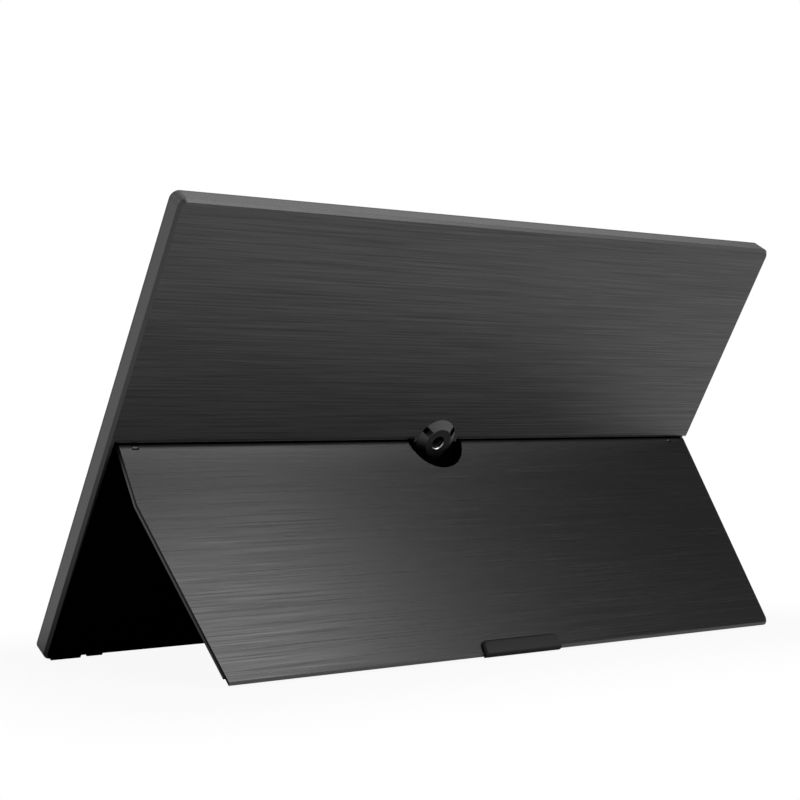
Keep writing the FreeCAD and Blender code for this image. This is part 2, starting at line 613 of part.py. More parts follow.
add_plate(shell, "rim_corner_block",
          rectangle(("(%s - Dim.rim_corner)" % HALF, "(%s - Dim.corner_radius)" % HALF),
                    ("0", "Dim.side_wall")),
          "0", "Dim.rear_chamfer")
add_posts(shell, "board_posts", BOARD_POSTS, "Dim.post_radius", "Dim.rear_wall", BOARD_REAR)
drill(shell, "board_post_holes", BOARD_POSTS, "Dim.board_screw_radius", BOARD_HOLE_Z, BOARD_REAR)
drill(shell, "case_head_holes", HINGE_SCREWS + CASE_SCREWS, "Dim.head_radius", RECESS_Z, HEAD_Z)
drill(shell, "case_screw_holes", HINGE_SCREWS + CASE_SCREWS, "Dim.screw_radius", HEAD_Z, FLOOR_Z)

# The cover thickens round the tripod socket and reaches a little way down beside it.
SEAT_RADIUS = "(Dim.boss_base + Dim.seat_wall)"
seat = doc.addObject("Part::Common", "socket_seat")
seat.Base = rod_z("socket_seat_disc", "0", BOSS_Y, ("0", FLOOR_Z), SEAT_RADIUS)
seat.Tool = box("socket_seat_half", (minus(SEAT_RADIUS), SEAT_RADIUS),
                ("(%s - Dim.seat_drop)" % RECESS_TOP, "(%s + %s)" % (BOSS_Y, SEAT_RADIUS)),
                ("0", FLOOR_Z))
cover_cuts = [
    rod_z("socket_pocket", "0", BOSS_Y, (minus("Dim.boss_proud"), RECESS_Z),
          "(Dim.boss_base + Dim.boss_play)"),
    rod_z("socket_hole", "0", BOSS_Y, (RECESS_Z, FLOOR_Z), "Dim.nut_radius"),
    oblong("data_socket_hole", (OPEN_SIDE, minus(INNER)), SOCKET_Y, SIDE_Z,
           "(Dim.socket_width + 2 * Dim.socket_play)", "(Dim.socket_height + 2 * Dim.socket_play)"),
]
for index, (x, y) in enumerate(HINGE_PLACES):
    half_ear = "(Dim.ear_width / 2 + Dim.ear_slot)"
    reach = "(%s + Dim.ear_slot)" % EAR_RADIUS
    cover_cuts.append(box("ear_slot_%d" % index,
                          ("(%s - %s)" % (x, half_ear), "(%s + %s)" % (x, half_ear)),
                          ("(%s - %s)" % (y, reach), "(%s + %s)" % (y, reach)),
                          (RECESS_Z, FLOOR_Z)))
for label, y in BUTTONS:
    cover_cuts.append(oblong(label + "_hole", (OPEN_SIDE, minus(INNER)), y, SIDE_Z,
                             "(Dim.button_length + 2 * Dim.button_play)",
                             "(Dim.button_height + 2 * Dim.button_play)"))
for index, (x, y) in enumerate(FEET):
    cover_cuts.append(box("foot_pocket_%d" % index,
                          ("(%s - Dim.foot_width / 2)" % x, "(%s + Dim.foot_width / 2)" % x),
                          (y, "Dim.foot_seat"),
                          (FOOT_Z, "(%s + Dim.foot_depth)" % FOOT_Z)))
named(cut("rear_cover", fuse("rear_cover_body", [shell, seat]), cover_cuts), "rear_cover", "PanelFrame")

# Front bezel: a frame round the picture with posts for the case screws.
bezel = new_body("front_bezel")
outline = add_plate(bezel, "bezel_outline", rectangle((minus(HALF), HALF), ("0", BODY_TOP)),
                    SEAM_Z, FRONT_Z)
outline = rounded(bezel, outline, upright_edges(outline, lambda p: True), "Dim.corner_radius")
bevelled(bezel, outline, edges_where(outline, lambda p: near(p.z, FRONT_Z)), "Dim.front_chamfer")
sink(bezel, "bezel_back", rectangle((minus(INNER), INNER), ("Dim.side_wall", INNER_TOP)), SEAM_Z, FACE_Z)
WINDOW_SIDE = "(%s + Dim.view_margin)" % VIEW_SIDE
WINDOW_LOW = "(Dim.view_bottom - Dim.view_margin)"
WINDOW_TOP = "(%s + Dim.view_margin)" % VIEW_TOP
sink(bezel, "bezel_window", rectangle((minus(WINDOW_SIDE), WINDOW_SIDE), (WINDOW_LOW, WINDOW_TOP)),
     FACE_Z, FRONT_Z)
add_posts(bezel, "bezel_posts", CASE_SCREWS, "(Dim.screw_radius + Dim.case_boss_wall)", FLOOR_Z, FACE_Z)
drill(bezel, "bezel_post_holes", CASE_SCREWS, "Dim.screw_radius",
      FLOOR_Z, "(%s + Dim.case_screw_length)" % HEAD_Z)
named(bezel, "front_bezel", "PanelFrame")

# Display: tape, cell, films, light guide, light bar and reflector, stacked in a sheet-metal tray.
cell_corners = rectangle((minus(CELL_SIDE), CELL_SIDE), (CELL_LOW, CELL_TOP))
tape = new_body("panel_tape")
add_plate(tape, "tape_outline", cell_corners, TAPE_Z, FACE_Z)
TAPE_SIDE = "(%s - Dim.tape_width)" % CELL_SIDE
sink(tape, "tape_window",
     rectangle((minus(TAPE_SIDE), TAPE_SIDE),
               ("(%s + Dim.tape_width)" % CELL_LOW, "(%s - Dim.tape_width)" % CELL_TOP)),
     TAPE_Z, FACE_Z)
named(tape, "panel_tape", "PanelFrame")
plain_plate("lcd_cell", cell_corners, CELL_Z, TAPE_Z)
sheet_corners = rectangle((minus(SHEET_SIDE), SHEET_SIDE), (SHEET_LOW, SHEET_TOP))
plain_plate("diffuser_films", sheet_corners, FILMS_Z, CELL_Z)
plain_plate("light_guide", rectangle((minus(SHEET_SIDE), SHEET_SIDE), (GUIDE_LOW, SHEET_TOP)),
            GUIDE_Z, FILMS_Z)
plain_plate("led_bar",
            rectangle((minus(SHEET_SIDE), SHEET_SIDE),
                      (SHEET_LOW, "(%s + Dim.led_height)" % SHEET_LOW)),
            GUIDE_Z, FILMS_Z)
plain_plate("reflector_sheet", sheet_corners, REFLECTOR_Z, GUIDE_Z)
tray = new_body("panel_tray")
add_plate(tray, "tray_outline", cell_corners, TRAY_Z, CELL_Z)
TRAY_SIDE = "(%s - Dim.tray_wall)" % CELL_SIDE
sink(tray, "tray_inside",
     rectangle((minus(TRAY_SIDE), TRAY_SIDE),
               ("(%s + Dim.tray_wall)" % CELL_LOW, "(%s - Dim.tray_wall)" % CELL_TOP)),
     REFLECTOR_Z, CELL_Z)
named(tray, "panel_tray", "PanelFrame")
pads = []
for index, (x, y) in enumerate(both_sides("Dim.pad_spread", "Dim.pad_low")
                               + both_sides("Dim.pad_spread", "Dim.pad_high")):
    pads.append(box("foam_pad_%d" % index,
                    ("(%s - Dim.pad_length / 2)" % x, "(%s + Dim.pad_length / 2)" % x),
                    ("(%s - Dim.pad_height / 2)" % y, "(%s + Dim.pad_height / 2)" % y),
                    (FLOOR_Z, TRAY_Z)))
named(group("panel_pads", pads), "panel_pads", "PanelFrame")

# Display driver board below the picture, its film leads and the flat cable to the main board.
plain_plate("panel_driver_board",
            rectangle((minus(DRIVER_SIDE), DRIVER_SIDE), ("Dim.driver_bottom", DRIVER_TOP)),
            FLOOR_Z, DRIVER_Z)
leads = []
for index, step in enumerate(("-3", "-1", "1", "3")):
    centre = "(%s * %s / 3)" % (step, LEAD_SIDE)
    width = ("(%s - Dim.flex_width / 2)" % centre, "(%s + Dim.flex_width / 2)" % centre)
    foot = box("film_foot_%d" % index, width,
               ("(%s - Dim.flex_foot)" % DRIVER_TOP, "(%s + Dim.flex_depth)" % FLEX_Y),
               (DRIVER_Z, "(%s + Dim.flex_depth)" % DRIVER_Z))
    riser = box("film_riser_%d" % index, width, (FLEX_Y, "(%s + Dim.flex_depth)" % FLEX_Y),
                (DRIVER_Z, "(%s + Dim.flex_depth)" % FLEX_Z))
    tab = box("film_tab_%d" % index, width, (FLEX_Y, CELL_LOW),
              (FLEX_Z, "(%s + Dim.flex_depth)" % FLEX_Z))
    leads.append(fuse("film_lead_%d" % index, [foot, riser, tab]))
named(group("panel_film_leads", leads), "panel_film_leads", "PanelFrame")
PLUG_Y = "(%s + Dim.plug_lift)" % BOARD_LOW
LOW_PLUG_Y = "(Dim.driver_bottom + Dim.plug_length)"
low_sides = ("(-%s - Dim.cable_width / 2)" % CABLE_X, "(-%s + Dim.cable_width / 2)" % CABLE_X)
high_sides = ("(-%s - Dim.cable_width / 2)" % CABLE_END, "(-%s + Dim.cable_width / 2)" % CABLE_END)
CABLE_TURN = "(%s + Dim.plug_length)" % PLUG_Y
plain_plate("display_cable", [
    (low_sides[0], "Dim.driver_bottom"),
    (low_sides[1], "Dim.driver_bottom"),
    (low_sides[1], CABLE_TURN),
    (high_sides[0], CABLE_TURN),
    (high_sides[0], PLUG_Y),
    (low_sides[0], PLUG_Y),
], CABLE_Z, "(%s + Dim.cable_depth)" % CABLE_Z)


def plug(name, sides, y_range, board_z):
    """A connector between a board and the flat cable."""
    return box(name, ("(%s - Dim.plug_margin)" % sides[0], "(%s + Dim.plug_margin)" % sides[1]),
               y_range, (board_z, CABLE_Z))


upper_plug = plug("upper_plug", high_sides, (PLUG_Y, CABLE_TURN), BOARD_FRONT)
lower_plug = plug("lower_plug", low_sides, ("Dim.driver_bottom", LOW_PLUG_Y), DRIVER_Z)
named(group("cable_connectors", [upper_plug, lower_plug]), "cable_connectors", "PanelFrame")

# Main board on four posts of the cover, with its chips, shield, data socket and switches.
board = new_body("main_board")
add_plate(board, "board_outline",
          rectangle((minus(BOARD_OUT), minus(BOARD_IN)), (BOARD_LOW, BOARD_TOP)), BOARD_REAR, BOARD_FRONT)
SOCKET_CLEAR = "(Dim.socket_width / 2 + Dim.socket_play)"
sink(board, "board_notch",
     rectangle((minus(HALF), "(-%s + Dim.socket_play)" % SOCKET_END),
               ("(%s - %s)" % (SOCKET_Y, SOCKET_CLEAR), "(%s + %s)" % (SOCKET_Y, SOCKET_CLEAR))),
     BOARD_REAR, BOARD_FRONT)
drill(board, "board_holes", BOARD_POSTS, "Dim.board_screw_radius", BOARD_REAR, BOARD_FRONT)
named(board, "main_board", "PanelFrame")


def chip(name, x, y, size):
    """A chip on the rear side of the main board."""
    return box(name, ("(%s - %s / 2)" % (x, size), "(%s + %s / 2)" % (x, size)),
               ("(%s - %s / 2)" % (y, size), "(%s + %s / 2)" % (y, size)),
               ("(%s - Dim.chip_depth)" % BOARD_REAR, BOARD_REAR))


SHIELD_HALF = "(Dim.chip_size / 2 + Dim.shield_margin)"
POWER_Y = "(%s - %s - Dim.chip_small)" % (CHIP_Y, SHIELD_HALF)
chips = [
    chip("picture_chip", minus(CHIP_X), CHIP_Y, "Dim.chip_size"),
    chip("power_chip_left", "(-%s - Dim.chip_small)" % CHIP_X, POWER_Y, "Dim.chip_small"),
    chip("power_chip_right", "(-%s + Dim.chip_small)" % CHIP_X, POWER_Y, "Dim.chip_small"),
    chip("memory_chip", minus(CHIP_X), "(%s + %s + Dim.chip_small)" % (CHIP_Y, SHIELD_HALF),
         "Dim.chip_small"),
]
named(group("board_chips", chips), "board_chips", "PanelFrame")
SHIELD_Z = "(%s - Dim.shield_depth)" % BOARD_REAR
shield_out = box("shield_outside",
                 ("(-%s - %s)" % (CHIP_X, SHIELD_HALF), "(-%s + %s)" % (CHIP_X, SHIELD_HALF)),
                 ("(%s - %s)" % (CHIP_Y, SHIELD_HALF), "(%s + %s)" % (CHIP_Y, SHIELD_HALF)),
                 (SHIELD_Z, BOARD_REAR))
SHIELD_IN = "(%s - Dim.shield_wall)" % SHIELD_HALF
shield_in = box("shield_inside",
                ("(-%s - %s)" % (CHIP_X, SHIELD_IN), "(-%s + %s)" % (CHIP_X, SHIELD_IN)),
                ("(%s - %s)" % (CHIP_Y, SHIELD_IN), "(%s + %s)" % (CHIP_Y, SHIELD_IN)),
                ("(%s + Dim.shield_wall)" % SHIELD_Z, BOARD_REAR))
named(cut("shield_can", shield_out, [shield_in]), "shield_can", "PanelFrame")

INSIDE_WIDTH = "(Dim.socket_width - 2 * Dim.socket_wall)"
INSIDE_HEIGHT = "(Dim.socket_height - 2 * Dim.socket_wall)"
socket_run = (minus(MOUTH_X), minus(SOCKET_END))
socket_shell = cut("data_socket_shell",
                   oblong("socket_outside", socket_run, SOCKET_Y, SIDE_Z,
                          "Dim.socket_width", "Dim.socket_height"),
                   [oblong("socket_inside", socket_run, SOCKET_Y, SIDE_Z, INSIDE_WIDTH, INSIDE_HEIGHT)])
named(socket_shell, "data_socket_shell", "PanelFrame")
BLOCK_X = "(-%s - Dim.socket_back)" % SOCKET_END
tongue = fuse("data_socket_tongue", [
    oblong("socket_block", (BLOCK_X, minus(SOCKET_END)), SOCKET_Y, SIDE_Z, INSIDE_WIDTH, INSIDE_HEIGHT),
    box("socket_tongue", ("(-%s + Dim.tongue_setback)" % MOUTH_X, BLOCK_X),
        ("(%s - Dim.tongue_width / 2)" % SOCKET_Y, "(%s + Dim.tongue_width / 2)" % SOCKET_Y),
        ("(%s - Dim.tongue_height / 2)" % SIDE_Z, "(%s + Dim.tongue_height / 2)" % SIDE_Z)),
])
named(tongue, "data_socket_tongue", "PanelFrame")

switches = []
for label, y in BUTTONS:
    case = box(label + "_switch_case", (minus(SWITCH_OUT), minus(SWITCH_IN)),
               ("(%s - Dim.switch_width / 2)" % y, "(%s + Dim.switch_width / 2)" % y),
               ("(%s - Dim.switch_height)" % BOARD_REAR, BOARD_REAR))
    plunger = box(label + "_plunger", (minus(PLUNGER_OUT), minus(SWITCH_OUT)),
                  ("(%s - Dim.plunger_width / 2)" % y, "(%s + Dim.plunger_width / 2)" % y),
                  ("(%s - Dim.switch_height / 2)" % BOARD_REAR, BOARD_REAR))
    switches.append(fuse(label + "_switch", [case, plunger]))
named(group("button_switches", switches), "button_switches", "PanelFrame")

# Buttons in the side wall, held in by a flange behind it.
for label, y in BUTTONS:
    cap = oblong(label + "_cap", ("(-%s - Dim.button_proud)" % HALF, minus(FLANGE_OUT)), y, SIDE_Z,
                 "Dim.button_length", "Dim.button_height")
    flange = oblong(label + "_flange", (minus(FLANGE_OUT), minus(FLANGE_IN)), y, SIDE_Z,
                    "(Dim.button_length + 2 * Dim.button_play + 2 * Dim.button_flange)",
                    "(Dim.button_height + 2 * Dim.button_play + 2 * Dim.button_flange)")
    named(fuse(label, [cap, flange]), label, "PanelFrame")


def screw(name, x, y, head_low, shank_low, shank_high, head_high, sizes):
    """A flat-headed screw through the depth of the panel."""
    shank_radius, head_radius = sizes
    return fuse(name, [
        rod_z(name + "_shank", x, y, (shank_low, shank_high), shank_radius),
        rod_z(name + "_head", x, y, (head_low, head_high), head_radius),
    ])


housing_screw = ("Dim.screw_radius", "Dim.head_radius")
named(group("case_screws", [
    screw("case_screw_%d" % index, x, y, RECESS_Z, HEAD_Z,
          "(%s + Dim.case_screw_length)" % HEAD_Z, HEAD_Z, housing_screw)
    for index, (x, y) in enumerate(CASE_SCREWS)
]), "case_screws", "PanelFrame")
named(group("hinge_screws", [
    screw("hinge_screw_%d" % index, x, y, RECESS_Z, HEAD_Z,
          "(%s + Dim.screw_tip)" % BRACKET_Z, HEAD_Z, housing_screw)
    for index, (x, y) in enumerate(HINGE_SCREWS)
]), "hinge_screws", "PanelFrame")
named(group("board_screws", [
    screw("board_screw_%d" % index, x, y, BOARD_FRONT, BOARD_HOLE_Z, BOARD_FRONT,
          "(%s + Dim.board_head_depth)" % BOARD_FRONT, ("Dim.board_screw_radius", "Dim.board_screw_head"))
    for index, (x, y) in enumerate(BOARD_POSTS)
]), "board_screws", "PanelFrame")

# Rubber feet under the housing.
named(group("rubber_feet", [
    box("rubber_foot_%d" % index,
        ("(%s - Dim.foot_width / 2)" % x, "(%s + Dim.foot_width / 2)" % x),
        (y, "Dim.foot_seat"), (FOOT_Z, "(%s + Dim.foot_depth)" % FOOT_Z))
    for index, (x, y) in enumerate(FEET)
]), "rubber_feet", "PanelFrame")

# Tripod socket: a slotted cone over a flanged nut.
cone = doc.addObject("Part::Cone", "socket_cone")
cone.setExpression("Radius1", "Dim.boss_top")
cone.setExpression("Radius2", "Dim.boss_base")
cone.setExpression("Height", "Dim.boss_proud")
cone.setExpression("Placement.Base.y", BOSS_Y)
cone.setExpression("Placement.Base.z", minus("Dim.boss_proud"))
drum = rod_z("socket_drum", "0", BOSS_Y, ("0", RECESS_Z), "Dim.boss_base")
boss_cuts = [rod_z("socket_bore", "0", BOSS_Y, (minus("Dim.boss_proud"), RECESS_Z), "Dim.nut_radius")]
for index, turn in enumerate((
    "(Dim.boss_slot_angle * 1 deg)",
    "(180 deg - Dim.boss_slot_angle * 1 deg)",
    "(180 deg + Dim.boss_slot_angle * 1 deg)",
    "(360 deg - Dim.boss_slot_angle * 1 deg)",
)):
    slot = doc.addObject("Part::Box", "socket_slot_%d" % index)
    slot.Placement = FreeCAD.Placement(Vector(0, 0, 0), FreeCAD.Rotation(Vector(0, 0, 1), 30))
    slot.setExpression("Length", "Dim.boss_base")
    slot.setExpression("Width", "Dim.boss_slot")
    slot.setExpression("Height", "Dim.boss_proud + Dim.boss_slot_depth")
    slot.setExpression("Placement.Rotation.Angle", turn)
    slot.setExpression("Placement.Base.x",
                       "Dim.boss_top * cos(%s) + Dim.boss_slot / 2 * sin(%s)" % (turn, turn))
    slot.setExpression("Placement.Base.y",
                       "%s + Dim.boss_top * sin(%s) - Dim.boss_slot / 2 * cos(%s)" % (BOSS_Y, turn, turn))
    slot.setExpression("Placement.Base.z", minus("Dim.boss_proud"))
    boss_cuts.append(slot)
named(cut("tripod_boss", fuse("socket_body", [cone, drum]), boss_cuts), "tripod_boss", "PanelFrame")

mouth = doc.addObject("Part::Cone", "thread_mouth_cone")
mouth.setExpression("Radius1", "Dim.thread_radius + Dim.thread_mouth")
mouth.setExpression("Radius2", "Dim.thread_radius")
mouth.setExpression("Height", "Dim.thread_mouth")
mouth.setExpression("Placement.Base.y", BOSS_Y)
mouth.setExpression("Placement.Base.z", minus("Dim.boss_proud"))
nut = cut("tripod_nut", fuse("nut_body", [
    rod_z("nut_sleeve", "0", BOSS_Y, (minus("Dim.boss_proud"), FLOOR_Z), "Dim.nut_radius"),
    rod_z("nut_flange_disc", "0", BOSS_Y, (FLOOR_Z, "(%s + Dim.nut_flange_depth)" % FLOOR_Z),
          "Dim.nut_flange"),
]), [
    rod_z("thread_bore", "0", BOSS_Y,
          (minus("Dim.boss_proud"), "(Dim.thread_depth - Dim.boss_proud)"), "Dim.thread_radius"),
    mouth,
])
named(nut, "tripod_nut", "PanelFrame")

# Hinges: a bracket under the recess floor with an ear through it, a pin and friction washers.
washers = []
pin_rods = []
for label, (x, y) in zip(("right", "left"), HINGE_PLACES):
    half = "(Dim.bracket_width / 2)"
    half_ear = "(Dim.ear_width / 2)"
    ear_run = ("(%s - %s)" % (x, half_ear), "(%s + %s)" % (x, half_ear))
    ear_low = "(%s - %s)" % (y, EAR_RADIUS)
    ear_high = "(%s + %s)" % (y, EAR_RADIUS)
    leaf = box("bracket_leaf_" + label, ("(%s - %s)" % (x, half), "(%s + %s)" % (x, half)),
               ("(%s - Dim.bracket_drop)" % y, ear_high), (FLOOR_Z, BRACKET_Z))
    web = box("bracket_web_" + label, ear_run, (ear_low, ear_high), (AXIS_Z, FLOOR_Z))
    eye = rod_x("bracket_eye_" + label, ear_run, y, AXIS_Z, EAR_RADIUS)
    bore = rod_x("bracket_bore_" + label, ear_run, y, AXIS_Z, "(Dim.pin_radius + Dim.pin_play)")
    holes = [
        rod_z("bracket_hole_%s_%s" % (label, side), "(%s %s Dim.hinge_screw_spread)" % (x, side_sign),
              HINGE_SCREW_Y, (FLOOR_Z, BRACKET_Z), "Dim.screw_radius")
        for side, side_sign in (("outer", "+"), ("inner", "-"))
    ]
    named(cut("hinge_bracket_" + label, fuse("bracket_body_" + label, [leaf, web, eye]), [bore] + holes),
          "hinge_bracket_" + label, "PanelFrame")

    pin_run = ("(%s - Dim.pin_length / 2)" % x, "(%s + Dim.pin_length / 2)" % x)
    pin = group("hinge_pin_" + label, [rod_x("pin_rod_" + label, pin_run, y, AXIS_Z, "Dim.pin_radius")])
    named(pin, "hinge_pin_" + label, "StandFrame")
    pin_rods.append(rod_x("pin_seat_" + label, pin_run, y, AXIS_Z, "Dim.pin_radius"))

    for side, near_ear, far_ear in (
        ("outer", "(%s + Dim.washer_gap)" % ear_run[1], "(%s + Dim.ear_gap)" % ear_run[1]),
        ("inner", "(%s - Dim.ear_gap)" % ear_run[0], "(%s - Dim.washer_gap)" % ear_run[0]),
    ):
        name = "washer_%s_%s" % (label, side)
        washers.append(cut(name, rod_x(name + "_disc", (near_ear, far_ear), y, AXIS_Z,
                                       "(Dim.pin_radius + Dim.washer_wall)"),
                           [rod_x(name + "_bore", (near_ear, far_ear), y, AXIS_Z, "Dim.pin_radius")]))
named(group("hinge_washers", washers), "hinge_washers", "StandFrame")


def stand_cuts(name):
    """The notch round the tripod socket, the gaps round the ears and the seats of the pins."""
    tools = [rod_z(name + "_notch", "(-Dim.notch_offset)", BOSS_Y, ("(-Dim.stand_plate)", "(2 * %s)" % STAND_Z),
                   "Dim.notch_radius")]
    for index, (x, y) in enumerate(HINGE_PLACES):
        clear = "(Dim.ear_width / 2 + Dim.ear_gap)"
        tools.append(box("%s_ear_gap_%d" % (name, index),
                         ("(%s - %s)" % (x, clear), "(%s + %s)" % (x, clear)),
                         ("(%s - %s - Dim.ear_gap)" % (y, EAR_RADIUS), "(%s + %s)" % (y, STAND_Z)),
                         ("(-Dim.stand_plate)", "(2 * %s)" % STAND_Z)))
    return tools + pin_rods


# Stand: a bevelled outer plate on a frame with a steel core between them, and a rubber grip.
plate = new_body("stand_plate_blank")
PLATE_TOP = "(Dim.hinge_height + Dim.plate_nose)"
outline = add_plate(plate, "stand_outline", [
    (minus(HALF), STAND_LOW),
    ("(%s - Dim.stand_slant)" % STAND_SIDE, STAND_LOW),
    (STAND_SIDE, STAND_TURN),
    (STAND_SIDE, PLATE_TOP),
    (minus(HALF), PLATE_TOP),
], "0", "Dim.stand_plate")
outline = rounded(plate, outline,
                  upright_edges(outline, lambda p: near(p.x, minus(HALF)) and near(p.y, STAND_LOW)),
                  "Dim.stand_corner")
lower_and_side = edges_where(outline, lambda p: near(p.z, "0") and (
    near(p.y, STAND_LOW) or p.x < number(minus(HALF)) + number("Dim.stand_corner")))
lower_and_side = [name for name in lower_and_side
                  if not near(outline.Shape.getElement(name).CenterOfMass.y, PLATE_TOP)]
bevelled(plate, outline, lower_and_side, "(Dim.stand_plate - Dim.stand_edge)")
named(cut("stand_plate", plate, stand_cuts("plate")), "stand_plate", "StandFrame")

frame_blank = new_body("stand_frame_blank")
FRAME_TOP = "(Dim.hinge_height + Dim.frame_nose)"
outline = add_plate(frame_blank, "frame_outline", [
    (minus(HALF), FRAME_LOW),
    (FRAME_LOW_SIDE, FRAME_LOW),
    (STAND_SIDE, STAND_TURN),
    (STAND_SIDE, FRAME_TOP),
    (minus(HALF), FRAME_TOP),
], "Dim.stand_plate", STAND_Z)
bevelled(frame_blank, outline,
         edges_where(outline, lambda p: near(p.z, STAND_Z) and near(p.y, FRAME_TOP)), "Dim.nose_bevel")
sink(frame_blank, "core_pocket",
     rectangle(("(-%s + Dim.frame_wall)" % HALF, CORE_SIDE), (CORE_LOW, CORE_TOP)),
     "Dim.stand_plate", CORE_Z)
named(cut("stand_frame", frame_blank, stand_cuts("frame")), "stand_frame", "StandFrame")
plain_plate("stand_core",
            rectangle(("(-%s + Dim.frame_wall + Dim.core_play)" % HALF, "(%s - Dim.core_play)" % CORE_SIDE),
                      ("(%s + Dim.core_play)" % CORE_LOW, "(%s - Dim.core_play)" % CORE_TOP)),
            "Dim.stand_plate", CORE_Z, "StandFrame")

grip = new_body("stand_grip")
GRIP_LEFT = "(-Dim.grip_offset - Dim.grip_width / 2)"
GRIP_RIGHT = "(-Dim.grip_offset + Dim.grip_width / 2)"
GRIP_LOW = "(%s - Dim.grip_web)" % STAND_LOW
flap = add_plate(grip, "grip_flap",
                 rectangle((GRIP_LEFT, GRIP_RIGHT), (GRIP_LOW, "(%s + Dim.grip_height)" % STAND_LOW)),
                 minus("Dim.grip_proud"), "0")
flap = rounded(grip, flap,
               upright_edges(flap, lambda p: near(p.y, "(%s + Dim.grip_height)" % STAND_LOW)),
               "Dim.grip_corner")
bevelled(grip, flap, edges_where(flap, lambda p: near(p.z, minus("Dim.grip_proud"))), "Dim.grip_bevel")
add_plate(grip, "grip_web_strip", rectangle((GRIP_LEFT, GRIP_RIGHT), (GRIP_LOW, STAND_LOW)),
          "0", "Dim.stand_plate")
named(grip, "stand_grip", "StandFrame")

doc.recompute()

for obj in doc.Objects:
    if "Invalid" in obj.State or "Error" in obj.State:
        raise RuntimeError("%s failed: %s" % (obj.Name, obj.State))
for piece in pieces:
    if piece.Shape.isNull() or not piece.Shape.isValid() or not piece.Shape.Solids:
        raise RuntimeError(piece.Label + " has no sound solid")

os.makedirs("parts", exist_ok=True)
for piece in pieces:
    piece.Shape.exportStep(os.path.join("parts", piece.Label + ".step"))
print("%d pieces" % len(pieces))
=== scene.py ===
import logging
import math
from collections.abc import Callable, Sequence
from dataclasses import dataclass, field
from enum import Enum

import bmesh
import bpy
from mathutils import Matrix, Vector


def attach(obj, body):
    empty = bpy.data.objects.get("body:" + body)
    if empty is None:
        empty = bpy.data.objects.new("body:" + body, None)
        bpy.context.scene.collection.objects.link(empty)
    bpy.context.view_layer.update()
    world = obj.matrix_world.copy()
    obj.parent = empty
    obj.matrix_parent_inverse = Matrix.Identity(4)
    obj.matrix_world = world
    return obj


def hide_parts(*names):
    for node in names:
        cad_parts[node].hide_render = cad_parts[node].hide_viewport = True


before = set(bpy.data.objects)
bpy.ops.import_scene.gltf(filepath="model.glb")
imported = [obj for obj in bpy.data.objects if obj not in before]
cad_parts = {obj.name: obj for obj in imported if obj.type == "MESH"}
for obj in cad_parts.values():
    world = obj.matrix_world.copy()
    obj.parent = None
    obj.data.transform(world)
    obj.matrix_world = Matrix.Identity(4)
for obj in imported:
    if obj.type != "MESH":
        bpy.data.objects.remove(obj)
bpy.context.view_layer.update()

# A portable monitor, reclined on its fold-out rear stand.  The panel and the stand each have axes of
# their own: x along the width, y up the face, z from the rear face inwards, in millimetres.

LOG = logging.getLogger("monitor")
MM = 0.001
FLAT = 0.99  # cosine above which a face counts as square to an axis
LEVEL = 0.05  # how far a face may lie from a level, in millimetres
SMOOTH_ANGLE = math.radians(40.0)  # steeper edges stay sharp in the shading
LAMP_AIM = Vector((0.0, 0.0, 0.08))  # the middle of the object, in metres
NodeSocket = bpy.types.NodeSocket
Colour = tuple[float, float, float]


@dataclass(frozen=True)
class LocalFrame:
    """Axes of the panel or of the stand.

    Attributes:
        recline: turn about the width, in radians.
        origin: place of the axes in the shared frame, in metres.
    """

    recline: float
    origin: tuple[float, float, float]

    def matrix(self) -> Matrix:
        """The matrix from these axes, in metres, to the shared frame."""
        return Matrix.Translation(self.origin) @ Matrix.Rotation(self.recline, 4, "X")

    def place(self, x: float, y: float, z: float) -> Vector:
        """A point of these axes, in millimetres, in the shared frame."""
        return self.matrix() @ (Vector((x, y, z)) * MM)

    def local(self, point: Vector) -> Vector:
        """A point of the shared frame in these axes, in millimetres."""
        return (self.matrix().inverted() @ point) / MM

    def direction(self, vector: Vector) -> Vector:
        """A direction of the shared frame in these axes."""
        return self.matrix().to_3x3().inverted() @ vector


PANEL = LocalFrame(math.radians(59.4057038), (0.0, -0.05454954, 0.00016773))
STAND = LocalFrame(math.radians(121.8057038), (0.0, 0.0599151, 0.0027256))


class Body(Enum):
    """The moving bodies of the object."""

    MONITOR = "monitor"
    STAND = "stand"
    POWER = "power_button_cap"
    MENU = "menu_button_cap"
    UP = "up_button_cap"
    DOWN = "down_button_cap"


class NodeSheet:
    """A node tree with short ways to add nodes and join them."""

    prefix = ""

    def __init__(self, tree: bpy.types.NodeTree) -> None:
        """Takes over a tree.

        Args:
            tree: the tree that gets the nodes.
        """
        self.tree = tree

    def add(self, kind: str, inputs: dict | None = None, **settings: object) -> bpy.types.Node:
        """Adds a node.

        Args:
            kind: the node's type without the sheet's prefix.
            inputs: a constant, a socket or a list of sockets for each input, by name or number.
            **settings: the node's own options.

        Returns:
            The new node.
        """
        node = self.tree.nodes.new(self.prefix + kind)
        for option, value in settings.items():
            setattr(node, option, value)
        for key, value in (inputs or {}).items():
            for item in value if isinstance(value, list) else [value]:
                if isinstance(item, NodeSocket):
                    self.tree.links.new(item, node.inputs[key])
                else:
                    node.inputs[key].default_value = item
        return node


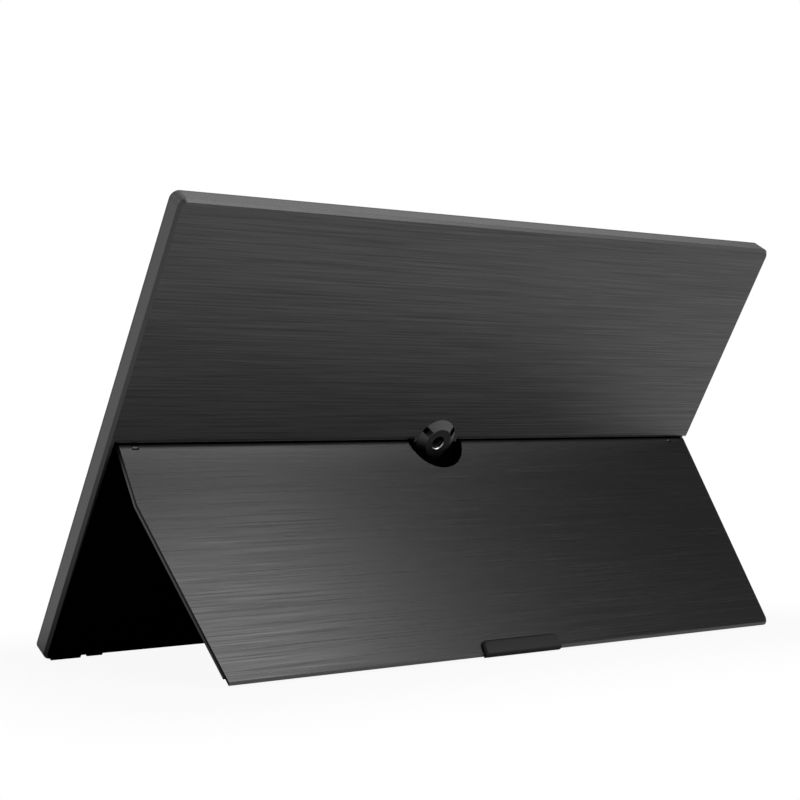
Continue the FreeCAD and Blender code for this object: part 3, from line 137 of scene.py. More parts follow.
class ShaderSheet(NodeSheet):
    """The node sheet of one material."""

    prefix = "ShaderNode"

    def __init__(self, name: str) -> None:
        """Starts an empty sheet.

        Args:
            name: the material's name.
        """
        self.material = bpy.data.materials.new(name)
        self.material.use_nodes = True
        super().__init__(self.material.node_tree)
        self.tree.nodes.clear()

    def own(self) -> NodeSocket:
        """The object's own coordinates, in metres."""
        return self.add("TexCoord").outputs["Object"]

    def along(self, axes: LocalFrame) -> NodeSocket:
        """Coordinates in the axes of the panel or the stand, in metres."""
        inputs = {"Vector": self.own(), "Location": axes.origin, "Rotation": (axes.recline, 0.0, 0.0)}
        return self.add("Mapping", inputs, vector_type="TEXTURE").outputs["Vector"]

    def stretched(self, place: NodeSocket, scale: tuple[float, float, float], shift: float) -> NodeSocket:
        """Coordinates scaled along each axis, and moved so that two patterns differ."""
        inputs = {"Vector": place, "Scale": scale, "Location": (shift, 2.0 * shift, 3.0 * shift)}
        return self.add("Mapping", inputs).outputs["Vector"]

    def noise(self, place: NodeSocket, scale: float, detail: float = 2.0, rough: float = 0.5) -> NodeSocket:
        """Cloudy noise from 0 to 1."""
        inputs = {"Vector": place, "Scale": scale, "Detail": detail, "Roughness": rough}
        return self.add("TexNoise", inputs).outputs["Fac"]

    def math(self, kind: str, first: object, second: object = 0.0) -> NodeSocket:
        """A sum, product or other figure of two values."""
        return self.add("Math", {0: first, 1: second}, operation=kind).outputs[0]

    def span(self, value: NodeSocket, low: float, high: float, lowest: float = 0.0,
             highest: float = 1.0) -> NodeSocket:
        """Spreads a value between two limits onto another range."""
        inputs = {"Value": value, "From Min": lowest, "From Max": highest, "To Min": low, "To Max": high}
        return self.add("MapRange", inputs).outputs["Result"]

    def blend(self, share: NodeSocket, first: object, second: object) -> NodeSocket:
        """Mixes two colours."""
        inputs = {0: share, 6: first, 7: second}
        return self.add("Mix", inputs, data_type="RGBA").outputs[2]

    def relief(self, height: NodeSocket, depth: float, edge: float) -> NodeSocket:
        """A surface relief on softened edges.

        Args:
            height: the relief, from 0 to 1.
            depth: its depth, in metres.
            edge: radius of the softened edges, in metres.

        Returns:
            The normal.
        """
        soft = self.add("Bevel", {"Radius": edge}, samples=4).outputs["Normal"]
        inputs = {"Height": height, "Distance": depth, "Strength": 1.0, "Normal": soft}
        return self.add("Bump", inputs).outputs["Normal"]

    def finish(self, inputs: dict) -> bpy.types.Material:
        """Joins the surface shader to the output.

        Args:
            inputs: constants and sockets of the surface shader.

        Returns:
            The finished material.
        """
        surface = self.add("BsdfPrincipled", inputs)
        self.add("OutputMaterial", {"Surface": surface.outputs[0]})
        return self.material


def grey(level: float) -> tuple[float, float, float, float]:
    """A neutral colour of that brightness."""
    return (level, level, level, 1.0)


def solid(colour: Colour, factor: float = 1.0) -> tuple[float, float, float, float]:
    """A colour as a shader takes it, made lighter or darker by a factor."""
    return (colour[0] * factor, colour[1] * factor, colour[2] * factor, 1.0)


@dataclass(frozen=True)
class Finish:
    """A finish that several pieces share.

    Attributes:
        name: the material's name.
        colour: its main colour.
        rough: its roughness.
        specular: how strongly it mirrors.
        edge: radius of softened edges, in metres.
    """

    name: str
    colour: Colour
    rough: float = 0.5
    specular: float = 0.5
    edge: float = 0.00015

    def material(self) -> bpy.types.Material:
        """The finish's material, made the first time it is asked for."""
        name = "finish_" + self.name
        return bpy.data.materials.get(name) or self.make(ShaderSheet(name))

    def make(self, sheet: ShaderSheet) -> bpy.types.Material:
        """Builds the material on an empty sheet; each kind of finish has its own way."""
        raise NotImplementedError


@dataclass(frozen=True)
class Brushed(Finish):
    """Dark brushed sheet: fine hairlines along the width.

    Attributes:
        axes: the axes that the hairlines follow.
        contrast: how far the hairlines differ in tone.
        depth: depth of the hairlines, in metres.
        long_scale: how dense the long hairlines are along each axis, per metre.
        short_scale: the same for the short hairlines.
        drift_scale: the same for the slow drift of tone.
        rough_swing: how far the hairlines differ in roughness.
        gloss_swing: how far they differ in mirroring, as a share of it.
    """

    axes: LocalFrame = PANEL
    contrast: float = 0.9
    depth: float = 0.000018
    long_scale: tuple[float, float, float] = (11.0, 1250.0, 1250.0)
    short_scale: tuple[float, float, float] = (26.0, 2500.0, 2500.0)
    drift_scale: tuple[float, float, float] = (5.0, 16.0, 16.0)
    rough_swing: float = 0.08
    gloss_swing: float = 0.16

    def make(self, sheet: ShaderSheet) -> bpy.types.Material:
        """Two sizes of hairline over a slow drift of tone."""
        place = sheet.along(self.axes)
        long_lines = sheet.noise(sheet.stretched(place, self.long_scale, 0.3), 1.0, 2.0, 0.55)
        short_lines = sheet.noise(sheet.stretched(place, self.short_scale, 1.7), 1.0, 2.0, 0.6)
        drift = sheet.noise(sheet.stretched(place, self.drift_scale, 4.1), 1.0, 1.0)
        lines = sheet.math("ADD", sheet.math("MULTIPLY", long_lines, 0.55),
                           sheet.math("MULTIPLY", short_lines, 0.45))
        drifting = sheet.math("ADD", lines, sheet.math("MULTIPLY", drift, 0.25))
        share = sheet.span(drifting, 0.0, 1.0, 0.50, 0.76)
        tone = sheet.blend(share, solid(self.colour, 1.0 - self.contrast),
                           solid(self.colour, 1.0 + self.contrast))
        rough = sheet.span(lines, self.rough + self.rough_swing, self.rough - self.rough_swing, 0.3, 0.7)
        gloss = sheet.span(lines, self.specular * (1.0 - self.gloss_swing),
                           self.specular * (1.0 + self.gloss_swing), 0.35, 0.65)
        return sheet.finish({"Base Color": tone, "Roughness": rough, "Specular IOR Level": gloss,
                             "Normal": sheet.relief(lines, self.depth, self.edge)})


@dataclass(frozen=True)
class Moulded(Finish):
    """Moulded or painted surface with a fine grain.

    Attributes:
        grain: size of the grain, in metres.
        depth: depth of the grain, in metres.
        mottle: how far the tone drifts.
        metal: 1 for bare metal.
        painted_shade_span: heights on the panel, in metres, between which the tone rises from black, as
            painted shade on the lower part; none if equal.
        rough_swing: how far the grain differs in roughness.
    """

    grain: float = 0.0004
    depth: float = 0.000008
    mottle: float = 0.12
    metal: float = 0.0
    painted_shade_span: tuple[float, float] = (0.0, 0.0)
    rough_swing: float = 0.06

    def make(self, sheet: ShaderSheet) -> bpy.types.Material:
        """Grain in the relief and the gloss, and a slow drift of tone."""
        place = sheet.own()
        grain = sheet.noise(place, 1.0 / self.grain, 2.0, 0.6)
        drift = sheet.noise(place, 60.0, 2.0)
        share = sheet.math("ADD", sheet.math("MULTIPLY", grain, 0.5), sheet.math("MULTIPLY", drift, 0.5))
        tone = sheet.blend(share, solid(self.colour, 1.0 - self.mottle),
                           solid(self.colour, 1.0 + self.mottle))
        # Painted shade: below these heights on the panel the tone darkens to black.
        if self.painted_shade_span[1] > self.painted_shade_span[0]:
            height = sheet.add("SeparateXYZ", {0: sheet.along(PANEL)}).outputs["Y"]
            tone = sheet.blend(sheet.span(height, 0.0, 1.0, *self.painted_shade_span), grey(0.0005), tone)
        roughest = min(self.rough + self.rough_swing, 1.0)
        rough = sheet.span(grain, self.rough - self.rough_swing, roughest, 0.3, 0.7)
        return sheet.finish({"Base Color": tone, "Roughness": rough, "Metallic": self.metal,
                             "Specular IOR Level": self.specular,
                             "Normal": sheet.relief(grain, self.depth, self.edge)})


@dataclass(frozen=True)
class Circuit(Finish):
    """Board or film with printed tracks.

    Attributes:
        track: colour of the tracks.
        pitch: distance between the tracks, in metres.
        wander: how far the tracks bend.
        height: how far the tracks stand up, in metres.
    """

    track: Colour = (0.10, 0.22, 0.09)
    pitch: float = 0.0012
    wander: float = 2.0
    height: float = 0.00003

    def make(self, sheet: ShaderSheet) -> bpy.types.Material:
        """Parallel tracks that bend here and there, slightly raised."""
        place = sheet.along(PANEL)
        wave = sheet.add("TexWave", {"Vector": place, "Scale": 0.31 / self.pitch, "Distortion": self.wander,
                                     "Detail": 1.0, "Detail Scale": 0.6}, bands_direction="X")
        share = sheet.span(wave.outputs["Fac"], 0.0, 1.0, 0.55, 0.65)
        tone = sheet.blend(share, solid(self.colour), solid(self.track))
        rough = sheet.span(share, self.rough, self.rough - 0.12)
        return sheet.finish({"Base Color": tone, "Roughness": rough, "Specular IOR Level": self.specular,
                             "Normal": sheet.relief(share, self.height, self.edge)})


@dataclass(frozen=True)
class Display(Finish):
    """Dark anti-glare display surface.

    Attributes:
        tint: colour of the faint sheen.
        sparkle: density of the sparkle, per metre.
        depth: depth of the sparkle, in metres.
        coat: strength of the clear coat.
    """

    tint: Colour = (0.004, 0.005, 0.008)
    sparkle: float = 5200.0
    depth: float = 0.000002
    coat: float = 0.06

    def make(self, sheet: ShaderSheet) -> bpy.types.Material:
        """A fine sparkle in the gloss and a slow drift of tint."""
        place = sheet.along(PANEL)
        sparkle = sheet.noise(place, self.sparkle, 1.0)
        drift = sheet.noise(place, 9.0, 1.0)
        tone = sheet.blend(drift, solid(self.colour), solid(self.tint))
        rough = sheet.span(sparkle, self.rough - 0.05, self.rough + 0.05, 0.3, 0.7)
        return sheet.finish({"Base Color": tone, "Roughness": rough, "Specular IOR Level": self.specular,
                             "Coat Weight": self.coat, "Coat Roughness": 0.08,
                             "Normal": sheet.relief(sparkle, self.depth, self.edge)})


COVER = Brushed("brushed_cover", (0.014, 0.014, 0.0143), 0.31, 0.58, axes=PANEL)
STAND_FACE = Brushed("brushed_stand", (0.005, 0.005, 0.0052), 0.245, 0.50, axes=STAND)
COVER_EDGE = Moulded("satin_cover_edge", (0.018, 0.018, 0.0185), 0.34, 0.50, grain=0.0005, depth=0.000004)
STAND_EDGE = Moulded("satin_stand_edge", (0.020, 0.020, 0.0205), 0.40, 0.50, grain=0.0005, depth=0.000004)
# Painted light: the plate's lower bevel takes a lighter copy of the satin edge.
STAND_LIP_LIT = Moulded("stand_lip_painted_light", (0.075, 0.075, 0.076), 0.45, 0.50, grain=0.0005, depth=0.000004)
# Painted shade: the plate's side bevels are painted dark, as a dark line beside the brushed face.
STAND_BEVEL_SHADE = Moulded("stand_bevel_painted_shade", (0.004, 0.004, 0.0042), 0.60, 0.12, grain=0.0005, depth=0.000004)
# Black plastic made near-black and almost unreflecting, as painted shade in the recess, the slots and the
# stand's inner faces.
RECESS_BLACK_AND_SHADE = Moulded("matt_black_painted_shade", (0.0006, 0.0006, 0.0006), 0.95, 0.01, grain=0.0006, depth=0.000012)
BEZEL = Moulded("bezel_black", (0.010, 0.010, 0.0105), 0.42, 0.45, grain=0.0003, depth=0.000010)
# The cone's plastic; its lower part darkens to black as painted shade.
BOSS = Moulded("boss_plastic", (0.082, 0.082, 0.083), 0.55, 0.12, grain=0.0003, depth=0.000008, edge=0.0002,
               painted_shade_span=(0.1112, 0.1160))
# Painted shade: the end faces of the cone and the nut take a darker copy of the cone's plastic.
BOSS_END_SHADED = Moulded("boss_end_painted_shade", (0.018, 0.018, 0.0184), 0.55, 0.12, grain=0.0003, depth=0.000008, edge=0.0002,
                   painted_shade_span=(0.1084, 0.1144))
RUBBER = Moulded("rubber", (0.009, 0.009, 0.0093), 0.62, 0.22, grain=0.00025, depth=0.000020, edge=0.0003)
BUTTON = Moulded("button_plastic", (0.012, 0.012, 0.0125), 0.40, 0.45, grain=0.0003, depth=0.000010,
                 edge=0.0003)
# Painted shade: the nut's bore and the thread in it are painted a dark metal.
BORE_SHADE = Moulded("nut_bore_painted_shade", (0.030, 0.030, 0.030), 0.35, 0.5, grain=0.0002, depth=0.000006, metal=1.0)
NUT = Moulded("nut_metal", (0.300, 0.297, 0.292), 0.22, 0.5, grain=0.0002, depth=0.000006, metal=1.0)
STEEL = Moulded("steel", (0.36, 0.36, 0.37), 0.34, 0.5, grain=0.0003, depth=0.000006, metal=1.0)
SCREW = Moulded("screw_black", (0.002, 0.002, 0.002), 0.7, 0.05, grain=0.0003, depth=0.000006, edge=0.0001)
DARK_STEEL = Moulded("hinge_steel", (0.040, 0.040, 0.042), 0.45, 0.5, grain=0.0003, depth=0.000006, metal=1.0)
BRIGHT = Moulded("plated_shell", (0.55, 0.55, 0.56), 0.28, 0.5, grain=0.0004, depth=0.000004, metal=1.0)
GOLD = Moulded("contact_gold", (0.72, 0.52, 0.20), 0.28, 0.5, grain=0.0003, depth=0.000003, metal=1.0)
SOCKET = Moulded("socket_plastic", (0.010, 0.010, 0.010), 0.5, 0.45)
TRAY = Moulded("tray_metal", (0.48, 0.49, 0.50), 0.42, 0.5, grain=0.0006, depth=0.000006, metal=1.0)
TAPE = Moulded("tape", (0.015, 0.015, 0.015), 0.6, 0.4, grain=0.0005)
FOAM = Moulded("foam", (0.030, 0.030, 0.032), 0.95, 0.15, grain=0.0007, depth=0.00009)
WHITE = Moulded("white_film", (0.72, 0.72, 0.72), 0.5, 0.4, grain=0.0006, mottle=0.04)
CLEAR = Moulded("light_guide", (0.62, 0.68, 0.70), 0.16, 0.5, grain=0.0009, depth=0.000012, mottle=0.06)
LAMPS = Moulded("light_bar", (0.70, 0.66, 0.46), 0.45, 0.4, grain=0.0012, mottle=0.25)
CHIP = Moulded("chip_black", (0.012, 0.012, 0.013), 0.55, 0.45, grain=0.0002, depth=0.000012)
GREEN = Circuit("board", (0.010, 0.055, 0.022), 0.42, 0.5, track=(0.020, 0.095, 0.040))
AMBER = Circuit("film_lead", (0.24, 0.10, 0.015), 0.35, 0.5, track=(0.36, 0.17, 0.03), pitch=0.0005,
                wander=0.0)
RIBBON = Circuit("ribbon", (0.55, 0.55, 0.53), 0.40, 0.5, track=(0.40, 0.39, 0.36), pitch=0.0010,
                 wander=0.0)
SCREEN = Display("screen", (0.0020, 0.0021, 0.0026), 0.26, 0.20)


def dress(node: str, finish: Finish) -> None:
    """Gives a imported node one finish."""
    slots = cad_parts[node].data.materials
    slots.clear()
    slots.append(finish.material())
    LOG.info("%s: %s", node, finish.name)


def dress_faces(node: str, axes: LocalFrame, finishes: Sequence[Finish],
                choose: Callable[[Vector, Vector], int]) -> None:
    """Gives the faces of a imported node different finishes.

    Args:
        node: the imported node.
        axes: the axes in which its faces are told apart.
        finishes: the finishes, in order.
        choose: gives a finish's number from a face's centre, in millimetres, and its normal.
    """
    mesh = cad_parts[node].data
    mesh.materials.clear()
    for finish in finishes:
        mesh.materials.append(finish.material())
    for face in mesh.polygons:
        face.material_index = choose(axes.local(face.center), axes.direction(face.normal))
    LOG.info("%s: %s", node, ", ".join(finish.name for finish in finishes))


def add_piece(name: str, mesh: bpy.types.Mesh, body: Body, replaced: str | None = None) -> None:
    """Links a finished mesh as a piece that rides on a body.

    Args:
        name: the piece's name.
        mesh: its mesh, in the shared frame.
        body: the body that carries it.
        replaced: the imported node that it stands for.
    """
    piece = bpy.data.objects.new(name, mesh)
    bpy.context.scene.collection.objects.link(piece)
    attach(piece, body.value)
    if replaced:
        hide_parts(replaced)
    LOG.info("%s: %d faces", name, len(mesh.polygons))


def merged_copy(node: str) -> bmesh.types.BMesh:
    """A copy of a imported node's mesh with its triangles joined."""
    shape = bmesh.new()
    shape.from_mesh(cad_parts[node].data)
    bmesh.ops.remove_doubles(shape, verts=shape.verts, dist=0.000002)
    return shape


def solid_boxes(node: str, axes: LocalFrame) -> list[tuple[Vector, Vector]]:
    """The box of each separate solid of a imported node.

    Args:
        node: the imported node.
        axes: the axes of the boxes.

    Returns:
        The lowest and highest corner of each solid, in millimetres.
    """
    shape = merged_copy(node)
    left = set(shape.verts)
    boxes = []
    while left:
        queue = [left.pop()]
        points = []
        while queue:
            vertex = queue.pop()
            points.append(axes.local(vertex.co))
            for edge in vertex.link_edges:
                other = edge.other_vert(vertex)
                if other in left:
                    left.remove(other)
                    queue.append(other)
        low = Vector(min(point[axis] for point in points) for axis in range(3))
        high = Vector(max(point[axis] for point in points) for axis in range(3))
        boxes.append((low, high))
    shape.free()
    return sorted(boxes, key=lambda pair: tuple(pair[0]))


def softened(name: str, node: str, body: Body, finish: Finish, radius: float) -> None:
    """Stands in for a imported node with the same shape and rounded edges.

    Args:
        name: the new piece's name.
        node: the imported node.
        body: the body that carries it.
        finish: its finish.
        radius: radius of the rounded edges, in millimetres.
    """
    flat_angle = math.radians(2.0)
    sharp_angle = math.radians(20.0)
    shape = merged_copy(node)
    bmesh.ops.dissolve_limit(shape, angle_limit=flat_angle, verts=shape.verts, edges=shape.edges)
    sharp = [edge for edge in shape.edges if edge.is_manifold and edge.calc_face_angle() > sharp_angle]
    bmesh.ops.bevel(shape, geom=sharp, offset=radius * MM, segments=3, profile=0.5, affect="EDGES",
                    clamp_overlap=True)
    bmesh.ops.triangulate(shape, faces=shape.faces)
    mesh = bpy.data.meshes.new(name)
    shape.to_mesh(mesh)
    shape.free()
    mesh.materials.append(finish.material())
    mesh.shade_smooth()
    mesh.set_sharp_from_angle(angle=SMOOTH_ANGLE)
    add_piece(name, mesh, body, node)


class GeometrySheet(NodeSheet):
    """A tree of geometry nodes with named sizes."""

    def __init__(self, name: str) -> None:
        """Starts a tree that takes a mesh and gives one.

        Args:
            name: the tree's name.
        """
        super().__init__(bpy.data.node_groups.new(name, "GeometryNodeTree"))
        self.tree.interface.new_socket("Places", in_out="INPUT", socket_type="NodeSocketGeometry")
        self.tree.interface.new_socket("Geometry", in_out="OUTPUT", socket_type="NodeSocketGeometry")
        self.source = self.tree.nodes.new("NodeGroupInput")
        self.sink = self.tree.nodes.new("NodeGroupOutput")

    def size(self, name: str, kind: str = "NodeSocketFloat") -> NodeSocket:
        """Adds a named size and gives its socket."""
        self.tree.interface.new_socket(name, in_out="INPUT", socket_type=kind)
        return self.source.outputs[name]

    def math(self, kind: str, first: object, second: object) -> NodeSocket:
        """A figure of two sizes."""
        return self.add("ShaderNodeMath", {0: first, 1: second}, operation=kind).outputs[0]

    def vector(self, x: object = 0.0, y: object = 0.0, z: object = 0.0) -> NodeSocket:
        """A vector of three sizes."""
        return self.add("ShaderNodeCombineXYZ", {0: x, 1: y, 2: z}).outputs[0]

    def moved(self, shape: NodeSocket, shift: NodeSocket) -> NodeSocket:
        """A shape moved by a vector."""
        return self.add("GeometryNodeTransform", {"Geometry": shape, "Translation": shift}).outputs[0]

    def joined(self, shapes: list[NodeSocket]) -> NodeSocket:
        """Several shapes as one."""
        return self.add("GeometryNodeJoinGeometry", {0: shapes}).outputs[0]

    def close(self, shape: NodeSocket, finish: Finish) -> None:
        """Realizes the instances and gives them their finish."""
        real = self.add("GeometryNodeRealizeInstances", {0: shape}).outputs[0]
        inputs = {"Geometry": real, "Material": finish.material()}
        done = self.add("GeometryNodeSetMaterial", inputs).outputs[0]
        self.tree.links.new(done, self.sink.inputs[0])

    def run(self, name: str, places: Sequence[Vector], sizes: dict[str, float],
            matrix: Matrix) -> bpy.types.Mesh:
        """Runs the tree and keeps the result as a plain mesh.

        Args:
            name: the mesh's name.
            places: where the shape goes, in millimetres of its own axes.
            sizes: a value for each named size, in millimetres or as a count.
            matrix: from those axes to the shared frame.

        Returns:
            The mesh, in the shared frame.
        """
        points = bpy.data.meshes.new(name + "_places")
        points.from_pydata([tuple(place * MM) for place in places], [], [])
        host = bpy.data.objects.new(name + "_host", points)
        bpy.context.scene.collection.objects.link(host)
        modifier = host.modifiers.new("shape", "NODES")
        modifier.node_group = self.tree
        for item in self.tree.interface.items_tree:
            if item.in_out == "INPUT" and item.name in sizes:
                value = sizes[item.name]
                modifier[item.identifier] = value if isinstance(value, int) else value * MM
        graph = bpy.context.evaluated_depsgraph_get()
        mesh = bpy.data.meshes.new_from_object(host.evaluated_get(graph))
        host.modifiers.clear()
        bpy.data.objects.remove(host)
        mesh.name = name
        mesh.transform(matrix)
        return mesh


def screw_tree(name: str, finish: Finish) -> GeometrySheet:
    """A cross-recessed screw at every place, its head towards -z with its upper face at z = 0."""
    sheet = GeometrySheet(name)
    head_radius = sheet.size("Head Radius")
    head_depth = sheet.size("Head Depth")
    shank_radius = sheet.size("Shank Radius")
    shank_length = sheet.size("Shank Length")
    cross_width = sheet.size("Cross Width")
    cross_depth = sheet.size("Cross Depth")
    rim_depth = sheet.math("MULTIPLY", head_depth, 0.35)
    rim = sheet.add("GeometryNodeMeshCone", {
        "Vertices": 36, "Side Segments": 1, "Radius Top": head_radius, "Depth": rim_depth,
        "Radius Bottom": sheet.math("MULTIPLY", head_radius, 0.88),
    }).outputs["Mesh"]
    drum_depth = sheet.math("SUBTRACT", head_depth, rim_depth)
    inputs = {"Vertices": 36, "Radius": head_radius, "Depth": drum_depth}
    drum = sheet.add("GeometryNodeMeshCylinder", inputs)
    drum_shift = sheet.math("ADD", rim_depth, sheet.math("MULTIPLY", drum_depth, 0.5))
    drum_shape = sheet.moved(drum.outputs["Mesh"], sheet.vector(z=drum_shift))
    head = sheet.add("GeometryNodeMeshBoolean", {"Mesh 2": [rim, drum_shape]}, operation="UNION").outputs[0]
    reach = sheet.math("MULTIPLY", head_radius, 1.25)
    bars = []
    for x_size, y_size in ((reach, cross_width), (cross_width, reach)):
        bar = sheet.add("GeometryNodeMeshCube", {
            "Size": sheet.vector(x_size, y_size, sheet.math("MULTIPLY", cross_depth, 2.0)),
        }).outputs["Mesh"]
        bars.append(bar)
    inputs = {"Mesh 1": head, "Mesh 2": bars}
    cut_head = sheet.add("GeometryNodeMeshBoolean", inputs, operation="DIFFERENCE").outputs[0]
    inputs = {"Vertices": 20, "Radius": shank_radius, "Depth": shank_length}
    shank = sheet.add("GeometryNodeMeshCylinder", inputs)
    shank_shift = sheet.math("ADD", head_depth, sheet.math("MULTIPLY", shank_length, 0.5))
    shank_shape = sheet.moved(shank.outputs["Mesh"], sheet.vector(z=shank_shift))
    inputs = {"Points": sheet.source.outputs["Places"], "Instance": sheet.joined([cut_head, shank_shape])}
    sheet.close(sheet.add("GeometryNodeInstanceOnPoints", inputs).outputs[0], finish)
    return sheet


def contact_tree(finish: Finish) -> GeometrySheet:
    """A row of flat contacts along y at every place."""
    sheet = GeometrySheet("socket_contacts")
    count = sheet.size("Count", "NodeSocketInt")
    pitch = sheet.size("Pitch")
    length = sheet.size("Length")
    width = sheet.size("Width")
    thickness = sheet.size("Thickness")
    bar = sheet.add("GeometryNodeMeshCube", {"Size": sheet.vector(length, width, thickness)}).outputs["Mesh"]
    run = sheet.math("MULTIPLY", pitch, sheet.math("SUBTRACT", count, 1.0))
    start = sheet.vector(y=sheet.math("MULTIPLY", run, -0.5))
    line = sheet.add("GeometryNodeMeshLine", {"Count": count, "Start Location": start,
                                              "Offset": sheet.vector(y=pitch)}).outputs[0]
    row = sheet.add("GeometryNodeInstanceOnPoints", {"Points": line, "Instance": bar}).outputs[0]
    inputs = {"Points": sheet.source.outputs["Places"], "Instance": row}
    sheet.close(sheet.add("GeometryNodeInstanceOnPoints", inputs).outputs[0], finish)
    return sheet


def thread_tree(finish: Finish) -> GeometrySheet:
    """A screw thread's ridge, wound about z at every place."""
    sheet = GeometrySheet("tripod_thread")
    radius = sheet.size("Radius")
    ridge = sheet.size("Ridge")
    turns = sheet.size("Turns", "NodeSocketInt")
    pitch = sheet.size("Pitch")
    height = sheet.math("MULTIPLY", pitch, turns)
    spiral = sheet.add("GeometryNodeCurveSpiral", {
        "Resolution": 40, "Rotations": turns, "Start Radius": radius, "End Radius": radius, "Height": height,
    }).outputs[0]
    upright = sheet.add("GeometryNodeSetCurveNormal", {"Curve": spiral}, mode="Z_UP").outputs[0]
    profile = sheet.add("GeometryNodeCurvePrimitiveCircle", {"Resolution": 6, "Radius": ridge}).outputs[0]
    inputs = {"Curve": upright, "Profile Curve": profile, "Fill Caps": True}
    swept = sheet.add("GeometryNodeCurveToMesh", inputs)
    inputs = {"Points": sheet.source.outputs["Places"], "Instance": swept.outputs[0]}
    sheet.close(sheet.add("GeometryNodeInstanceOnPoints", inputs).outputs[0], finish)
    return sheet


@dataclass(frozen=True)
class Screw:
    """A cross-recessed screw that stands in for a plain one.

    Attributes:
        head_radius: radius of the head.
        head_depth: depth of the head.
        shank_radius: radius of the shank.
        cross_width: width of the cross.
        cross_depth: depth of the cross.
        finish: the screw's finish.
        inwards: whether the head faces the screen and not the rear.
    """

    head_radius: float
    head_depth: float
    shank_radius: float
    cross_width: float
    cross_depth: float
    finish: Finish
    inwards: bool = False

    def build(self, node: str) -> None:
        """Builds such screws in place of a node's plain ones."""
        turn = Matrix.Rotation(math.pi, 4, "X") if self.inwards else Matrix.Identity(4)
        boxes = solid_boxes(node, PANEL)
        tops = [turn @ Vector(((low.x + high.x) / 2, (low.y + high.y) / 2, high.z if self.inwards else low.z))
                for low, high in boxes]
        sizes = {"Head Radius": self.head_radius, "Head Depth": self.head_depth,
                 "Cross Width": self.cross_width, "Cross Depth": self.cross_depth,
                 "Shank Radius": self.shank_radius,
                 "Shank Length": boxes[0][1].z - boxes[0][0].z - self.head_depth}
        name = node + "_crossed"
        mesh = screw_tree(node + "_tree", self.finish).run(name, tops, sizes, PANEL.matrix() @ turn)
        add_piece(name, mesh, Body.MONITOR, node)


@dataclass
class Housing:
    """Rear cover, bezel, feet and the screws that hold them.

    Attributes:
        half_width: half the housing's width.
        height: the housing's height.
        corner: rounding of the housing's corners.
        recess_top: height of the cover's edge above the stand's recess.
        face_half: half the width of the cover's brushed face.
        edge_reach: how far above that edge its rounding reaches.
        rim: width of the satin edge.
        foot_radius: rounding of the feet's edges.
        screw: the screws in the recess.
    """

    half_width: float = 179.85
    height: float = 227.4
    corner: float = 4.0
    recess_top: float = 112.9
    face_half: float = 177.0
    edge_reach: float = 3.0
    rim: float = 1.4
    foot_radius: float = 0.35
    screw: Screw = Screw(1.7, 0.5, 0.8, 0.42, 0.35, SCREW)

    def inset(self, centre: Vector) -> float:
        """How far a point lies inside the housing's rounded outline."""
        reach_x = abs(centre.x) - self.half_width + self.corner
        reach_y = abs(centre.y - 0.5 * self.height) - 0.5 * self.height + self.corner
        outside = math.hypot(max(reach_x, 0.0), max(reach_y, 0.0))
        return self.corner - outside - min(max(reach_x, reach_y), 0.0)

    def face_finish(self, centre: Vector, normal: Vector) -> int:
        """Tells the cover's brushed face, its satin edges and its black inside apart; the inside is black
        plastic darkened further, almost without gloss, as painted shade.
        """
        above = self.recess_top - 0.1 < centre.y < self.recess_top + self.edge_reach
        rounded = above and abs(centre.x) < self.face_half and -FLAT < normal.z < -0.1
        if rounded or normal.z < -FLAT and centre.z < LEVEL and centre.y > self.recess_top:
            return 0
        outward = centre.x * normal.x + (centre.y - 0.5 * self.height) * normal.y > 0.01
        return 1 if self.inset(centre) < self.rim and outward else 2

    def build(self) -> None:
        """Dresses the cover and the bezel, and builds the feet and the screws."""
        dress_faces("rear_cover", PANEL, (COVER, COVER_EDGE, RECESS_BLACK_AND_SHADE), self.face_finish)
        dress("front_bezel", BEZEL)
        softened("soft_feet", "rubber_feet", Body.MONITOR, RUBBER, self.foot_radius)
        self.screw.build("case_screws")
        self.screw.build("hinge_screws")


@dataclass
class TripodSocket:
    """The slotted cone at the middle of the hinge line, with its threaded nut.

    Attributes:
        centre: height of the socket on the panel.
        thread_radius: radius of the thread.
        pitch: pitch of the thread.
        ridge: radius of the thread's ridge.
        start: depth of the first turn.
        turns: number of turns.
        end: depth of the cone's end face.
    """

    centre: float = 113.4
    thread_radius: float = 3.175
    pitch: float = 1.27
    ridge: float = 0.36
    start: float = -1.3
    turns: int = 3
    end: float = -2.5

    def boss_finish(self, centre: Vector, normal: Vector) -> int:
        """Tells the cone's flank, its end face and its slots apart; the end face is a darker copy of the
        flank and the slots are black, as painted shade.
        """
        if normal.z < -FLAT and centre.z < self.end + LEVEL:
            return 1
        reach = Vector((centre.x, centre.y - self.centre))
        slope = normal.to_2d()
        return 0 if reach.dot(slope) > 0.9 * reach.length * slope.length else 2

    def nut_finish(self, centre: Vector, normal: Vector) -> int:
        """Tells the nut's bright mouth, its end face and its bore apart; the end face takes the cone's darker
        end and the bore a dark metal, as painted shade.
        """
        if normal.z < -FLAT:
            return 1
        return 0 if normal.z < -0.3 else 2

    def build(self) -> None:
        """Dresses the cone and the nut, and winds the thread's ridge."""
        dress_faces("tripod_boss", PANEL, (BOSS, BOSS_END_SHADED, RECESS_BLACK_AND_SHADE), self.boss_finish)
        dress_faces("tripod_nut", PANEL, (NUT, BOSS_END_SHADED, BORE_SHADE), self.nut_finish)
        sizes = {"Radius": self.thread_radius, "Ridge": self.ridge, "Turns": self.turns, "Pitch": self.pitch}
        places = [Vector((0.0, self.centre, self.start))]
        mesh = thread_tree(BORE_SHADE).run("tripod_thread", places, sizes, PANEL.matrix())
        mesh.shade_smooth()
        mesh.set_sharp_from_angle(angle=SMOOTH_ANGLE)
        add_piece("tripod_thread", mesh, Body.MONITOR)


